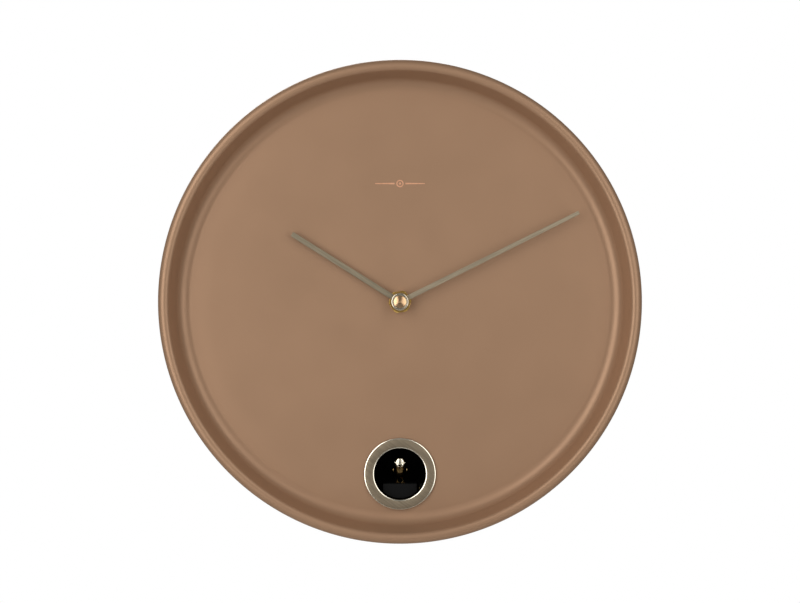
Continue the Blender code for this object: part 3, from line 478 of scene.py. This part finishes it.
def polished_gold():
    gold = Surface("look_gold", GOLD, 1.0, 0.1)
    gold.colour_from(gold.noise(220, 3), (0.92, 0.73, 0.42), (0.96, 0.79, 0.50))
    return plating(gold)


def painted_light_bird_gold():
    """Gold plating: the head's gold is paled nearly to white as a painted highlight, and the gold below the
    neck is darkened, with lighter patches, as painted shade.
    """
    gold = Surface("look_bird", GOLD, 1.0, 0.1)
    split = gold.node("ShaderNodeSeparateXYZ")
    gold.link(gold.place, split.inputs["Vector"])
    neck = (BIRD_FLOOR + BIRD_NECK) * MM
    # Below the neck the colour is darkened as painted shade; above it, it is paled as a painted highlight.
    height = gold.spread(split.outputs["Z"], 0, 0.7, neck - 0.5 * MM, neck + 0.5 * MM)
    patches = gold.noise(650, 5)
    both = gold.node("ShaderNodeMath", operation="ADD")
    gold.link(height, both.inputs[0])
    gold.link(patches, both.inputs[1])
    # The dark stops are painted shade on the body; the nearly white top stop is a painted highlight on the
    # head.
    stops = ((0.40, (0.075, 0.045, 0.018)), (0.66, (0.42, 0.28, 0.11)), (0.80, (0.98, 0.90, 0.72)))
    gold.link(gold.ramp(both.outputs[0], stops), gold.shader.inputs["Base Color"])
    return plating(gold)


def moulded_plastic(name, colour, roughness=0.5, grain=700, specular=0.5, depth=0.02):
    """Moulded plastic with a fine spark-eroded texture and faint flow marks."""
    plastic = Surface(name, colour, 0.0, roughness)
    plastic.shader.inputs["Specular IOR Level"].default_value = specular
    plastic.colour_from(plastic.noise(35, 3), shade(colour, 0.9), shade(colour, 1.12))
    plastic.roughness_from(plastic.noise(60, 4), roughness - 0.05, roughness + 0.07)
    plastic.bump(plastic.noise(grain, 3), 0.4, depth)
    return plastic.material


def plated_steel():
    steel = Surface("look_steel", (0.56, 0.56, 0.57), 1.0, 0.32)
    steel.colour_from(steel.noise(180, 4), (0.48, 0.48, 0.49), (0.62, 0.61, 0.60))
    steel.roughness_from(steel.noise(420, 4), 0.26, 0.42)
    steel.bump(steel.noise(900, 3), 0.25, 0.01)
    return steel.material


def rubber():
    return moulded_plastic("look_rubber", (0.02, 0.02, 0.02), 0.8, 400)


def winding():
    """Enamelled wire wound across the coil's length."""
    wire = Surface("look_copper_winding", (0.6, 0.25, 0.1), 1.0, 0.3)
    turns = wire.node("ShaderNodeTexWave", wave_type="BANDS", bands_direction="X", wave_profile="SIN")
    turns.inputs["Scale"].default_value = 900
    turns.inputs["Distortion"].default_value = 0.4
    wire.link(wire.place, turns.inputs["Vector"])
    wire.colour_from(turns.outputs["Fac"], (0.36, 0.12, 0.04), (0.68, 0.30, 0.12))
    wire.bump(turns.outputs["Fac"], 0.6, 0.05)
    return wire.material


def circuit_board():
    """Solder mask over faint straight tracks."""
    board = Surface("look_board_green", (0.02, 0.12, 0.06), 0.0, 0.4)
    tracks = board.node("ShaderNodeTexBrick")
    tracks.inputs["Scale"].default_value = 160
    tracks.inputs["Mortar Size"].default_value = 0.06
    tracks.inputs["Color1"].default_value = (0.015, 0.10, 0.045, 1)
    tracks.inputs["Color2"].default_value = (0.02, 0.13, 0.06, 1)
    tracks.inputs["Mortar"].default_value = (0.04, 0.22, 0.10, 1)
    board.link(board.mapped((1, 1, 1), (radians(90), 0, 0)), tracks.inputs["Vector"])
    board.link(tracks.outputs["Color"], board.shader.inputs["Base Color"])
    board.bump(tracks.outputs["Fac"], 0.3, 0.03)
    return board.material


def cone_paper():
    return moulded_plastic("look_cone_paper", (0.04, 0.04, 0.04), 0.9, 1800)


def cell_wrap():
    """Plain printed sleeve: a dark body and a copper-coloured end, with no lettering."""
    dark = (0.03, 0.03, 0.035)
    copper = (0.55, 0.27, 0.09)
    wrap = Surface("look_cell_wrap", dark, 0.0, 0.3)
    split = wrap.node("ShaderNodeSeparateXYZ")
    wrap.link(wrap.place, split.inputs["Vector"])
    band = wrap.spread(split.outputs["X"], 0, 1, CELL_BAND * MM, (CELL_BAND + CELL_BAND_BLUR) * MM)
    wrap.link(wrap.ramp(band, ((0.4, dark), (0.6, copper))), wrap.shader.inputs["Base Color"])
    wrap.roughness_from(wrap.noise(90, 3), 0.22, 0.36)
    wrap.bump(wrap.noise(300, 3), 0.2, 0.02)
    return wrap.material


def insulation(name, colour):
    return moulded_plastic(name, colour, 0.42, 900)


def printed_copper():
    """Metallic print on the dial."""
    ink = Surface("look_print", (0.66, 0.33, 0.19), 0.2, 0.4)
    ink.colour_from(ink.noise(800, 3), (0.61, 0.30, 0.17), (0.71, 0.37, 0.22))
    ink.roughness_from(ink.noise(1200, 3), 0.3, 0.42)
    ink.bump(ink.noise(2200, 2), 0.2, 0.01)
    return ink.material


def label_paper():
    label = Surface("look_label", (0.62, 0.62, 0.60), 0.0, 0.45)
    label.colour_from(label.noise(60, 4), (0.58, 0.58, 0.56), (0.66, 0.66, 0.64))
    label.roughness_from(label.noise(140, 3), 0.36, 0.52)
    label.bump(label.noise(500, 3), 0.2, 0.02)
    return label.material


def slot_materials():
    """One material for each material slot of the CAD, and one for the cover and the battery door."""
    return {
        "taupe_paint": taupe_paint(),
        "champagne_metal": brushed_metal("look_champagne", CHAMPAGNE, 0.52, 125),
        "brass": turned_metal("look_brass", (0.80, 0.56, 0.24), 0.22),
        "gold": polished_gold(),
        "steel": plated_steel(),
        "copper_winding": winding(),
        "dark_plastic": moulded_plastic("look_dark_plastic", (0.010, 0.010, 0.011)),
        "back_plastic": moulded_plastic("look_back_plastic", (0.020, 0.020, 0.021), 0.36, 1300, depth=0.12),
        "grey_plastic": moulded_plastic("look_grey_plastic", (0.075, 0.075, 0.077), 0.45),
        "white_plastic": moulded_plastic("look_white_plastic", (0.76, 0.75, 0.70), 0.42),
        "rubber": rubber(),
        "board_green": circuit_board(),
        "cone_paper": cone_paper(),
        "cell_wrap": cell_wrap(),
        "red_wire": insulation("look_red_wire", (0.5, 0.02, 0.02)),
        "black_wire": insulation("look_black_wire", (0.015, 0.015, 0.015)),
    }


def dress(piece, *materials):
    piece.data.materials.clear()
    for material in materials:
        piece.data.materials.append(material)


def fit(piece, body, slot, material, *nodes):
    """Give a new piece its material and body, and hide the CAD nodes that it stands for; the slot is not
    used.
    """
    if material:
        dress(piece, material)
    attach(piece, body)
    if nodes:
        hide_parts(*nodes)
    return piece


# ---------------------------------------------------------------- case

def dial_edge(drop):
    """The dial's slight roll-off before the fillet: a parabola that falls by the drop."""
    width = DIAL_FLAT_RADIUS - EDGE_START
    steps = [step / 12 for step in range(12)]
    return [(EDGE_START + width * step, DIAL_DEPTH - drop * step ** 2) for step in steps]


def case_profile():
    """Outline of the pressed sheet: from the dial over the rim and down the skirt, and back inside."""
    drop = (DIAL_FLAT_RADIUS - EDGE_START) * tan(radians(EDGE_TILT)) / 2
    fillet = (DIAL_FLAT_RADIUS, DIAL_DEPTH - drop + FILLET_RADIUS)
    crest = CASE_RADIUS - RIM_OUTER
    top = CASE_DEPTH - HAIR
    outer = (crest, top - RIM_OUTER)
    inner = (crest, top - RIM_INNER)
    across = inner[0] - fillet[0]
    up = inner[1] - fillet[1]
    slope = asin((FILLET_RADIUS + RIM_INNER) / hypot(across, up)) + atan2(up, across)
    slope = slope * 180 / pi
    corner = (CASE_RADIUS - SKIRT_BEND, FLANGE_DEPTH + SKIRT_BEND)
    front = [(SHAFT_HOLE_RADIUS, DIAL_DEPTH), (DIAL_CENTRE_RADIUS, DIAL_DEPTH)]
    front += dial_edge(drop)
    front += arc(fillet, FILLET_RADIUS, -90 - EDGE_TILT, -90 + slope, 16)
    front += arc(inner, RIM_INNER, 90 + slope, 90, 12)
    front += arc(outer, RIM_OUTER, 90, 0, 16)[1:]
    front += arc(corner, SKIRT_BEND, 0, -90, 6)
    front += [(FLANGE_INNER_RADIUS, FLANGE_DEPTH), (FLANGE_INNER_RADIUS, FLANGE_DEPTH + SHEET)]
    back = arc(corner, SKIRT_BEND - SHEET, -90, 0, 3)
    back += arc(outer, RIM_OUTER - SHEET, 0, 90, 4)
    back += arc(inner, RIM_INNER - SHEET, 90, 90 + slope, 4)[1:]
    back += arc(fillet, FILLET_RADIUS + SHEET, -90 + slope, -90, 5)
    back += [(SHAFT_HOLE_RADIUS, DIAL_DEPTH - SHEET)]
    return front + back


def case_piece(looks):
    shell = lathe("case_look", case_profile(), 272)
    window = circle(SLEEVE_RADIUS + 0.3, 96, (0, WINDOW_Z), 0.01)
    combine(shell, [prism("tool", window, DIAL_DEPTH - 3, DIAL_DEPTH + 2)])
    fit(shell, "clock_body", "taupe_paint", looks["taupe_paint"], "case_shell")


def dial_mark(looks):
    """Plain printed ornament below 12: a dotted ring between two tapering lines, on a film."""
    layer = (DIAL_DEPTH + 0.01, DIAL_DEPTH + 0.01 + MARK_FILM)
    centre = (0, MARK_Z)
    hole = circle(MARK_RING_INNER, 48, centre)
    ring = prism("dial_mark", circle(MARK_RING_OUTER, 48, centre), *layer, holes=[hole])
    parts = [prism("mark_dot", circle(MARK_DOT, 24, centre), *layer)]
    for side in (-1, 1):
        start = side * MARK_LINE_START
        end = side * MARK_LINE_END
        outline = [(start, MARK_Z - 0.5), (end, MARK_Z - 0.25), (end, MARK_Z + 0.25), (start, MARK_Z + 0.5)]
        parts.append(prism("mark_line", outline, *layer))
    join_pieces(ring, parts)
    fit(ring, "clock_body", "brass", printed_copper())


def join_pieces(target, others):
    """Put the other pieces' meshes into the target's."""
    bm = bmesh.new()
    for piece in (target, *others):
        bm.from_mesh(piece.data)
    bm.to_mesh(target.data)
    bm.free()
    for piece in others:
        bpy.data.objects.remove(piece)
    smooth(target)


# ---------------------------------------------------------------- window ring

def ring_piece(looks):
    """Flat brushed ring with polished bevels along both edges."""
    round_off = 0.15
    shoulder = RING_FRONT - RING_BEVEL_FALL - 0.12
    profile = [(BORE_RADIUS, SLEEVE_END), (SLEEVE_RADIUS, SLEEVE_END), (SLEEVE_RADIUS, RING_BACK),
               (RING_RADIUS - 0.1, RING_BACK), (RING_RADIUS, RING_BACK + 0.1)]
    profile += arc((RING_RADIUS - round_off, shoulder), round_off, 0, 60, 3)
    profile += [(RING_RADIUS - RING_BEVEL, RING_FRONT), (BORE_RADIUS + RING_BEVEL, RING_FRONT)]
    profile += arc((BORE_RADIUS + round_off, shoulder), round_off, 120, 180, 3)
    ring = lathe("ring_look", profile, 160, (0, WINDOW_Z))
    fit(ring, "clock_body", "champagne_metal", None, "window_ring")
    edge = turned_metal("look_ring_edge", (0.86, 0.80, 0.66), 0.2, centre=(0, WINDOW_Z))
    dress(ring, looks["champagne_metal"], edge)
    for face in ring.data.polygons:
        tilted = 0.3 < abs(face.normal.y) < 0.99
        if tilted and -face.center.y / MM > RING_FRONT - 0.5:
            face.material_index = 1


# ---------------------------------------------------------------- hands and hub

def hand_outline(length, widths, angle):
    """A straight strip with a round hub, pointing clockwise from 12 by the angle in degrees."""
    root_width, tip_width = widths
    meet = asin(root_width / 2 / HUB_RADIUS) * 180 / pi
    tip = [(tip_width / 2, length - TIP_CORNER), (tip_width / 2 - TIP_CORNER, length)]
    points = arc((0, 0), HUB_RADIUS, 90 + meet, 450 - meet, 48)
    points += tip + [(-x, z) for x, z in reversed(tip)]
    turn = radians(angle)
    return [(x * cos(turn) + z * sin(turn), z * cos(turn) - x * sin(turn)) for x, z in points]


def hand_piece(name, body, node, outline, depth, bore, material):
    strip = prism(name, outline, depth, depth + HAND_THICKNESS, holes=[circle(bore, 32)])
    soften(strip, 0.16, 2, 40)
    fit(strip, body, "champagne_metal", material, node)


def hands():
    # The hour hand's metal is darkened as painted shade and the minute hand's is lightened as painted light.
    hour = brushed_metal("look_hour_hand", HOUR_METAL_PAINTED_SHADE, 0.52, HOUR_ANGLE)
    minute = brushed_metal("look_minute_hand", MINUTE_METAL_PAINTED_LIGHT, 0.52, MINUTE_ANGLE)
    outline = hand_outline(HOUR_LENGTH, HOUR_WIDTHS, HOUR_ANGLE)
    hand_piece("hour_hand_look", "hour_group", "hour_hand", outline, HOUR_HAND_DEPTH, HOUR_BORE, hour)
    outline = hand_outline(MINUTE_LENGTH, MINUTE_WIDTHS, MINUTE_ANGLE)
    hand_piece("minute_hand_look", "minute_group", "minute_hand", outline, MINUTE_HAND_DEPTH,
               MINUTE_BORE, minute)


def cap_piece():
    """Cap nut: a rounded rim in pale gold round a low copper-gold cone, turned on a lathe."""
    top = CAP_BACK + CAP_HEIGHT
    groove = top - 1.2
    bore = [(0, CAP_BORE_END), (MINUTE_BORE, CAP_BORE_END), (MINUTE_BORE, CAP_BACK)]
    rim = [(CAP_RADIUS - 0.3, CAP_BACK), (CAP_RADIUS, CAP_BACK + 0.3)]
    rim += arc((CAP_RADIUS - 0.75, top - 0.9), 0.75, 0, 90, 8)
    rim += arc((CAP_LIP_RADIUS + 0.2, top - 0.35), 0.2, 90, 180, 4)
    rim += [(CAP_LIP_RADIUS, groove), (CAP_CONE_RADIUS + 0.05, groove)]
    cone = [(CAP_CONE_RADIUS, top - 0.55), (CAP_CONE_RADIUS - 0.15, top - 0.45), (0.12, top - 0.25),
            (0, top - 0.25)]
    cap = lathe("cap_look", bore + rim + cone, 128)
    pale = turned_metal("look_cap_rim", (0.70, 0.62, 0.47), 0.13)
    copper = turned_metal("look_cap_cone", (0.74, 0.47, 0.26), 0.24, 0.93)
    fit(cap, "minute_group", "champagne_metal", None, "cap_nut")
    dress(cap, pale, copper)
    for face in cap.data.polygons:
        centre = face.center / MM
        if hypot(centre.x, centre.z) < CAP_CONE_RADIUS + 0.03 and -centre.y > groove + 0.01:
            face.material_index = 1


def nut_piece():
    """Hexagon nut with chamfered corners."""
    corner = NUT_ACROSS_FLATS / 2 / cos(pi / 6)
    top = NUT_BACK + NUT_HEIGHT
    nut = prism("nut_look", circle(corner, 6, turn=radians(NUT_TURN)), NUT_BACK, top)
    chamfer = [(0, NUT_BACK - 1), (NUT_CORNER_RADIUS, NUT_BACK - 1), (NUT_CORNER_RADIUS, top - 0.5),
               (NUT_CORNER_RADIUS - 0.8, top + 0.1), (0, top + 0.1)]
    combine(nut, [lathe("tool", chamfer, 96)], "INTERSECT")
    combine(nut, [prism("tool", circle(NUT_BORE_RADIUS, 48), NUT_BACK - 1, top + 1)])
    soften(nut, 0.2, 3, 25)
    fit(nut, "clock_body", "brass", turned_metal("look_nut", (0.78, 0.50, 0.14), 0.2), "fixing_nut")


# ---------------------------------------------------------------- bird

def loft(name, sections, sides, shift=0.0):
    """Skin ellipses (depth, height, half width, half height), heights above the bird's floor."""
    bm = bmesh.new()
    rings = []
    for depth, z, half_width, half_height in sections:
        ring = [(shift + half_width * a, BIRD_FLOOR + z + half_height * b) for a, b in circle(1, sides)]
        rings.append([bm.verts.new(axis_point("Y", a, b, depth)) for a, b in ring])
    bm.faces.new(rings[0])
    bm.faces.new(rings[-1])
    for ring, following in zip(rings, rings[1:]):
        for side in range(sides):
            after = (side + 1) % sides
            bm.faces.new((ring[side], ring[after], following[after], following[side]))
    return new_piece(name, bm)


def bird_point(x, depth, height):
    """A point given by its height above the bird's floor."""
    return axis_point("Y", x, BIRD_FLOOR + height, depth)


def ball(name, centre, radius):
    """A small sphere; the centre is (x, depth, height)."""
    bm = bmesh.new()
    bmesh.ops.create_icosphere(bm, subdivisions=3, radius=radius * MM)
    bmesh.ops.translate(bm, verts=bm.verts, vec=bird_point(*centre))
    return new_piece(name, bm)


def rod(name, start, end, radius):
    """A round rod between two (x, depth, height) points."""
    a = bird_point(*start)
    b = bird_point(*end)
    bm = bmesh.new()
    bmesh.ops.create_cone(bm, cap_ends=True, segments=16, radius1=radius * MM, radius2=radius * MM,
                          depth=(b - a).length)
    turn = Vector((0, 0, 1)).rotation_difference(b - a).to_matrix().to_4x4()
    bmesh.ops.transform(bm, matrix=turn, verts=bm.verts)
    bmesh.ops.translate(bm, verts=bm.verts, vec=(a + b) / 2)
    return new_piece(name, bm)


def ellipsoid(name, centre, radii, turn=0.0):
    """An ellipsoid turned about Z; the centre is (x, depth, height)."""
    bm = bmesh.new()
    bmesh.ops.create_icosphere(bm, subdivisions=4, radius=1)
    bmesh.ops.scale(bm, vec=Vector(radii) * MM, verts=bm.verts)
    bmesh.ops.rotate(bm, matrix=Matrix.Rotation(radians(turn), 3, "Z"), verts=bm.verts)
    bmesh.ops.translate(bm, verts=bm.verts, vec=bird_point(*centre))
    return new_piece(name, bm)


def bird_foot(side):
    """A thin leg with three toes spread forwards."""
    ankle = (side * LEG_X, LEG_DEPTH, 0.42)
    parts = [rod("leg", (side * LEG_X, LEG_DEPTH - 0.5, 0.4), (side * LEG_X, LEG_DEPTH, LEG_TOP), 0.4)]
    for angle in TOE_ANGLES:
        across = TOE_LENGTH * sin(radians(angle))
        ahead = TOE_LENGTH * cos(radians(angle))
        parts.append(rod("toe", ankle, (side * LEG_X + across, LEG_DEPTH + ahead, 0.36), 0.3))
    return parts


def breast_feathers():
    """Four rows of small bumps down the breast, every other row set sideways."""
    parts = []
    for row in range(4):
        for column in range(-1, 2):
            x = column * 1.1 + (row % 2) * 0.55
            depth = 28.6 - 0.95 * row - 0.3 * x ** 2
            parts.append(ball("feather", (x, depth, 8.6 - 1.35 * row), 0.55))
    return parts


def bird_piece():
    """Cast bird: body, wings, head, beak, eyes and feet melted into one skin."""
    body = loft("bird_look", [
        (11, 5.6, 1.5, 0.4), (14, 5.6, 2.2, 0.7), (17, 5.8, 3.0, 1.6), (20, 6.2, 3.9, 3.0),
        (23, 6.6, 4.3, 4.1), (25.5, 7.3, 4.1, 4.7), (27.6, 8.6, 3.2, 4.3), (28.8, 9.8, 2.2, 3.1),
        (29.5, 10.6, 1.2, 1.8), (29.8, 10.9, 0.4, 0.6)], 32)
    parts = [ellipsoid("head", (0, 30.1, 13.2), (2.6, 2.5, 3.3))]
    parts.append(loft("beak", [(31.6, 12.0, 1.3, 1.1), (32.8, 11.6, 0.85, 0.75), (34.2, 11.1, 0.45, 0.4),
                               (35.2, 10.8, 0.16, 0.14)], 20))
    for side in (-1, 1):
        parts.append(loft("wing", [
            (12.5, 6.4, 0.4, 0.6), (15, 6.9, 0.8, 1.8), (19, 7.4, 1.1, 3.0), (22.5, 7.9, 1.0, 3.1),
            (24.5, 8.2, 0.6, 2.0), (25.4, 8.4, 0.25, 0.8)], 24, side * WING_X))
        parts.append(ellipsoid("cheek", (side * 0.95, 31.5, 13.2), (2.4, 0.75, 2.9), side * 20))
        parts.append(ball("eye", (side * 3.0, 31.2, 13.1), 0.4))
        parts += bird_foot(side)
    join_pieces(body, parts + breast_feathers())
    skin = body.modifiers.new("skin", "REMESH")
    skin.mode = "VOXEL"
    skin.voxel_size = SKIN_VOXEL * MM
    melt = body.modifiers.new("melt", "SMOOTH")
    melt.factor = 0.5
    melt.iterations = 5
    apply_modifiers(body)
    body.data.shade_smooth()
    fit(body, "bird_carriage", "gold", painted_light_bird_gold(), "bird")


# ---------------------------------------------------------------- back

def keyhole_outline():
    """A round hole with a slot above it that the wall screw's neck slides into."""
    half = KEYHOLE_SLOT / 2
    meet = asin(half / KEYHOLE_RADIUS) * 180 / pi
    points = arc((0, KEYHOLE_Z), KEYHOLE_RADIUS, 90 + meet, 450 - meet, 40)
    return points + arc((0, KEYHOLE_Z + KEYHOLE_RISE), half, 0, 180, 16)


def speaker_slot(row):
    """One sound slot, as long as the speaker is wide at that row."""
    half = sqrt((SPEAKER_RADIUS - SPEAKER_MARGIN) ** 2 - row ** 2)
    return rounded_rectangle(2 * half, SPEAKER_SLOT, 1.45, (SPEAKER_X, SPEAKER_Z + row), 8)


def screw_places():
    """Places of the case's screws and then of the two that hold the bird's house."""
    angles = [radians(angle) for angle in COVER_SCREW_ANGLES]
    around = [(COVER_SCREW_RADIUS * cos(angle), COVER_SCREW_RADIUS * sin(angle)) for angle in angles]
    return around + list(HOUSE_SCREWS)


def cover_tools():
    """Solids that cut the openings right through, the label's seat and the screws' seats."""
    openings = [keyhole_outline()]
    openings += [speaker_slot(row) for row in SPEAKER_ROWS]
    openings.append(circle(KNOB_OPENING_RADIUS, 96, (0, KNOB_Z)))
    openings.append(circle(BUTTON_OPENING_RADIUS, 40, (BUTTON_X, SWITCH_Z)))
    openings.append(rounded_rectangle(*SLIDER_OPENING, 0.6, (SLIDER_X + SLIDER_TRAVEL / 2, SWITCH_Z), 4))
    openings.append(rounded_rectangle(DOOR_LENGTH + 2 * DOOR_GAP, DOOR_HEIGHT + 2 * DOOR_GAP, 0.2,
                                      (BATTERY_X, BATTERY_Z), 2))
    through = (-1, COVER_THICKNESS + 1)
    tools = [prism("tool", outline, *through) for outline in openings]
    label = rounded_rectangle(LABEL_WIDTH + 2 * LABEL_GAP, LABEL_HEIGHT + 2 * LABEL_GAP,
                              LABEL_CORNER + LABEL_GAP, (0, LABEL_Z), 8)
    tools.append(prism("tool", label, -1, LABEL_RECESS))
    for place in screw_places():
        tools.append(prism("tool", circle(SCREW_SEAT_RADIUS, 40, place), -1, SCREW_SEAT_DEPTH))
        tools.append(prism("tool", circle(SCREW_HOLE_RADIUS, 24, place), *through))
    return tools


def cover_piece(looks):
    """Moulded back with every opening softened and a shallow seat for a label."""
    edge = 0.6
    profile = [(0, 0), (COVER_RADIUS - edge, 0)]
    profile += arc((COVER_RADIUS - edge, edge), edge, -90, 0, 5)[1:]
    profile += [(COVER_RADIUS, COVER_THICKNESS), (0, COVER_THICKNESS)]
    cover = lathe("cover_look", profile, 240)
    combine(cover, cover_tools())
    soften(cover, 0.25, 2, 40, clamp=False)
    fit(cover, "clock_body", "dark_plastic", looks["back_plastic"], "back_cover")


def label_piece():
    """A blank label in its seat: nothing is printed on it but a thin border."""
    face = LABEL_RECESS - 0.12
    outline = rounded_rectangle(LABEL_WIDTH, LABEL_HEIGHT, LABEL_CORNER, (0, LABEL_Z), 8)
    label = prism("label_look", outline, face, LABEL_RECESS - 0.01)
    fit(label, "clock_body", "white_plastic", label_paper())
    inset = 2 * BORDER_INSET
    outer = rounded_rectangle(LABEL_WIDTH - inset, LABEL_HEIGHT - inset, 1.2, (0, LABEL_Z), 6)
    inset += 2 * BORDER_LINE
    inner = rounded_rectangle(LABEL_WIDTH - inset, LABEL_HEIGHT - inset, 0.9, (0, LABEL_Z), 6)
    border = prism("label_border", outer, face - 0.02, face, holes=[inner])
    fit(border, "clock_body", "dark_plastic", moulded_plastic("look_border_ink", (0.05, 0.05, 0.05), 0.6))


def door_piece(looks):
    """Battery door, rounded along its hinge edge, with a thumb recess and grip ridges."""
    half = DOOR_HALF_THICKNESS
    middle = half + DOOR_BACK
    bottom = BATTERY_Z - DOOR_HEIGHT / 2
    top = BATTERY_Z + DOOR_HEIGHT / 2
    outline = arc((middle, bottom + half), half, 180, 360, 16)
    outline += [(middle + half, top), (middle - half, top)]
    door = prism("door_look", outline, BATTERY_X - DOOR_LENGTH / 2, BATTERY_X + DOOR_LENGTH / 2, "X")
    thumb_z = top - THUMB_DROP
    recess = rounded_rectangle(THUMB_WIDTH, THUMB_HEIGHT, 3.9, (BATTERY_X, thumb_z), 12)
    combine(door, [prism("tool", recess, -1, THUMB_DEPTH)])
    soften(door, 0.22, 2, 40, clamp=False)
    ridges = []
    for row in GRIP_ROWS:
        bar = rounded_rectangle(GRIP_WIDTH, 0.9, 0.44, (BATTERY_X, thumb_z + row), 5)
        ridge = prism("ridge", bar, 0.4, THUMB_DEPTH + 0.05)
        ridges.append(soften(ridge, 0.2, 3, 40, clamp=False))
    join_pieces(door, ridges)
    weigh_normals(door)
    fit(door, "battery_lid", "dark_plastic", looks["back_plastic"], "battery_door")


def soften_nodes(frame):
    """Round the edges of the small parts that are carried over from the CAD."""
    widths = {"set_knob": 0.35, "mode_slider": 0.25, "test_button": 0.3}
    widths.update({node: 0.12 for node in frame["nodes"] if "_screw_" in node})
    for node, width in widths.items():
        modifier = frame["nodes"][node].modifiers.new("soften", "BEVEL")
        modifier.width = width * MM
        modifier.segments = 2
        modifier.limit_method = "ANGLE"
        modifier.angle_limit = radians(50)


# ---------------------------------------------------------------- CAD nodes

def dress_cad(frame, looks):
    """Give every CAD node the material of its slot; the bird's house and the sled get a nearly black plastic,
    darker than the clock's other black plastic: partly their own black and partly painted shade for the dark
    hole behind the window.
    """
    for entry in frame["record"]["subparts"]:
        dress(frame["nodes"][entry["node"]], looks[entry["material_slot"]])
    # Nearly black: partly the house's own black plastic, partly painted shade in the dark hole.
    house_black_with_painted_shade = moulded_plastic("look_house", (0.0018, 0.0018, 0.0018), 0.8, specular=0.1)
    dress(frame["nodes"]["cuckoo_housing"], house_black_with_painted_shade)
    # Nearly black: partly the sled's own black plastic, partly painted shade in the dark hole.
    sled_black_with_painted_shade = moulded_plastic("look_sled", (0.003, 0.003, 0.003), 0.6, specular=0.1)
    for node in ("sled", "drive_gear"):
        dress(frame["nodes"][node], sled_black_with_painted_shade)


# ---------------------------------------------------------------- stage

def floor():
    """Pale studio floor, lifted towards white for the eye only, so it lights the clock no more."""
    bm = bmesh.new()
    bmesh.ops.create_circle(bm, cap_ends=True, segments=128, radius=FLOOR_RADIUS)
    bmesh.ops.translate(bm, verts=bm.verts, vec=(0, 0, FLOOR_Z))
    disc = new_piece("floor", bm)
    plain = Surface("look_floor", (0.8, 0.8, 0.8), 0.0, 0.7)
    plain.colour_from(plain.noise(3, 3), (0.78, 0.78, 0.78), (0.82, 0.82, 0.82))
    plain.bump(plain.noise(40, 3), 0.05, 0.5)
    plain.shader.inputs["Emission Color"].default_value = (1, 1, 1, 1)
    seen = plain.node("ShaderNodeLightPath").outputs["Is Camera Ray"]
    plain.link(plain.spread(seen, 0, FLOOR_LIFT, 0, 1), plain.shader.inputs["Emission Strength"])
    dress(disc, plain.material)


def area_light(name, azimuth, elevation, distance, size, power):
    """A soft panel aimed at the middle of the dial."""
    side = radians(azimuth)
    rise = radians(elevation)
    towards = Vector((sin(side) * cos(rise), -cos(side) * cos(rise), sin(rise)))
    data = bpy.data.lights.new(name, "AREA")
    data.shape = "RECTANGLE"
    data.size, data.size_y = size
    data.energy = power
    light = bpy.data.objects.new(name, data)
    light.location = towards * distance + Vector((0, -DIAL_DEPTH * MM, 0))
    light.rotation_euler = (-towards).to_track_quat("-Z", "Y").to_euler()
    bpy.context.scene.collection.objects.link(light)


def world():
    """White surroundings to the eye, and a dimmer even light on the object."""
    surroundings = bpy.data.worlds.new("studio")
    surroundings.use_nodes = True
    tree = surroundings.node_tree
    tree.nodes.clear()
    seen = tree.nodes.new("ShaderNodeBackground")
    seen.inputs["Color"].default_value = (1, 1, 1, 1)
    lighting = tree.nodes.new("ShaderNodeBackground")
    lighting.inputs["Color"].default_value = (SURROUNDINGS, SURROUNDINGS, SURROUNDINGS, 1)
    path = tree.nodes.new("ShaderNodeLightPath")
    mix = tree.nodes.new("ShaderNodeMixShader")
    output = tree.nodes.new("ShaderNodeOutputWorld")
    tree.links.new(path.outputs["Is Camera Ray"], mix.inputs[0])
    tree.links.new(lighting.outputs[0], mix.inputs[1])
    tree.links.new(seen.outputs[0], mix.inputs[2])
    tree.links.new(mix.outputs[0], output.inputs["Surface"])
    bpy.context.scene.world = surroundings


def camera():
    data = bpy.data.cameras.new("camera")
    data.lens = LENS
    data.sensor_width = 36
    data.clip_start = 0.05
    data.clip_end = 50
    eye = bpy.data.objects.new("camera", data)
    eye.location = Vector((CAMERA_X, -CAMERA_DISTANCE, CAMERA_Z)) * MM
    eye.rotation_euler = (pi / 2, 0, 0)
    bpy.context.scene.collection.objects.link(eye)
    bpy.context.scene.camera = eye


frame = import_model()
bpy.context.scene.view_settings.view_transform = "Standard"
looks = slot_materials()
dress_cad(frame, looks)
case_piece(looks)
dial_mark(looks)
ring_piece(looks)
hands()
cap_piece()
nut_piece()
bird_piece()
cover_piece(looks)
label_piece()
door_piece(looks)
soften_nodes(frame)
floor()
for name, values in LIGHTS.items():
    area_light(name, *values)
world()
camera()
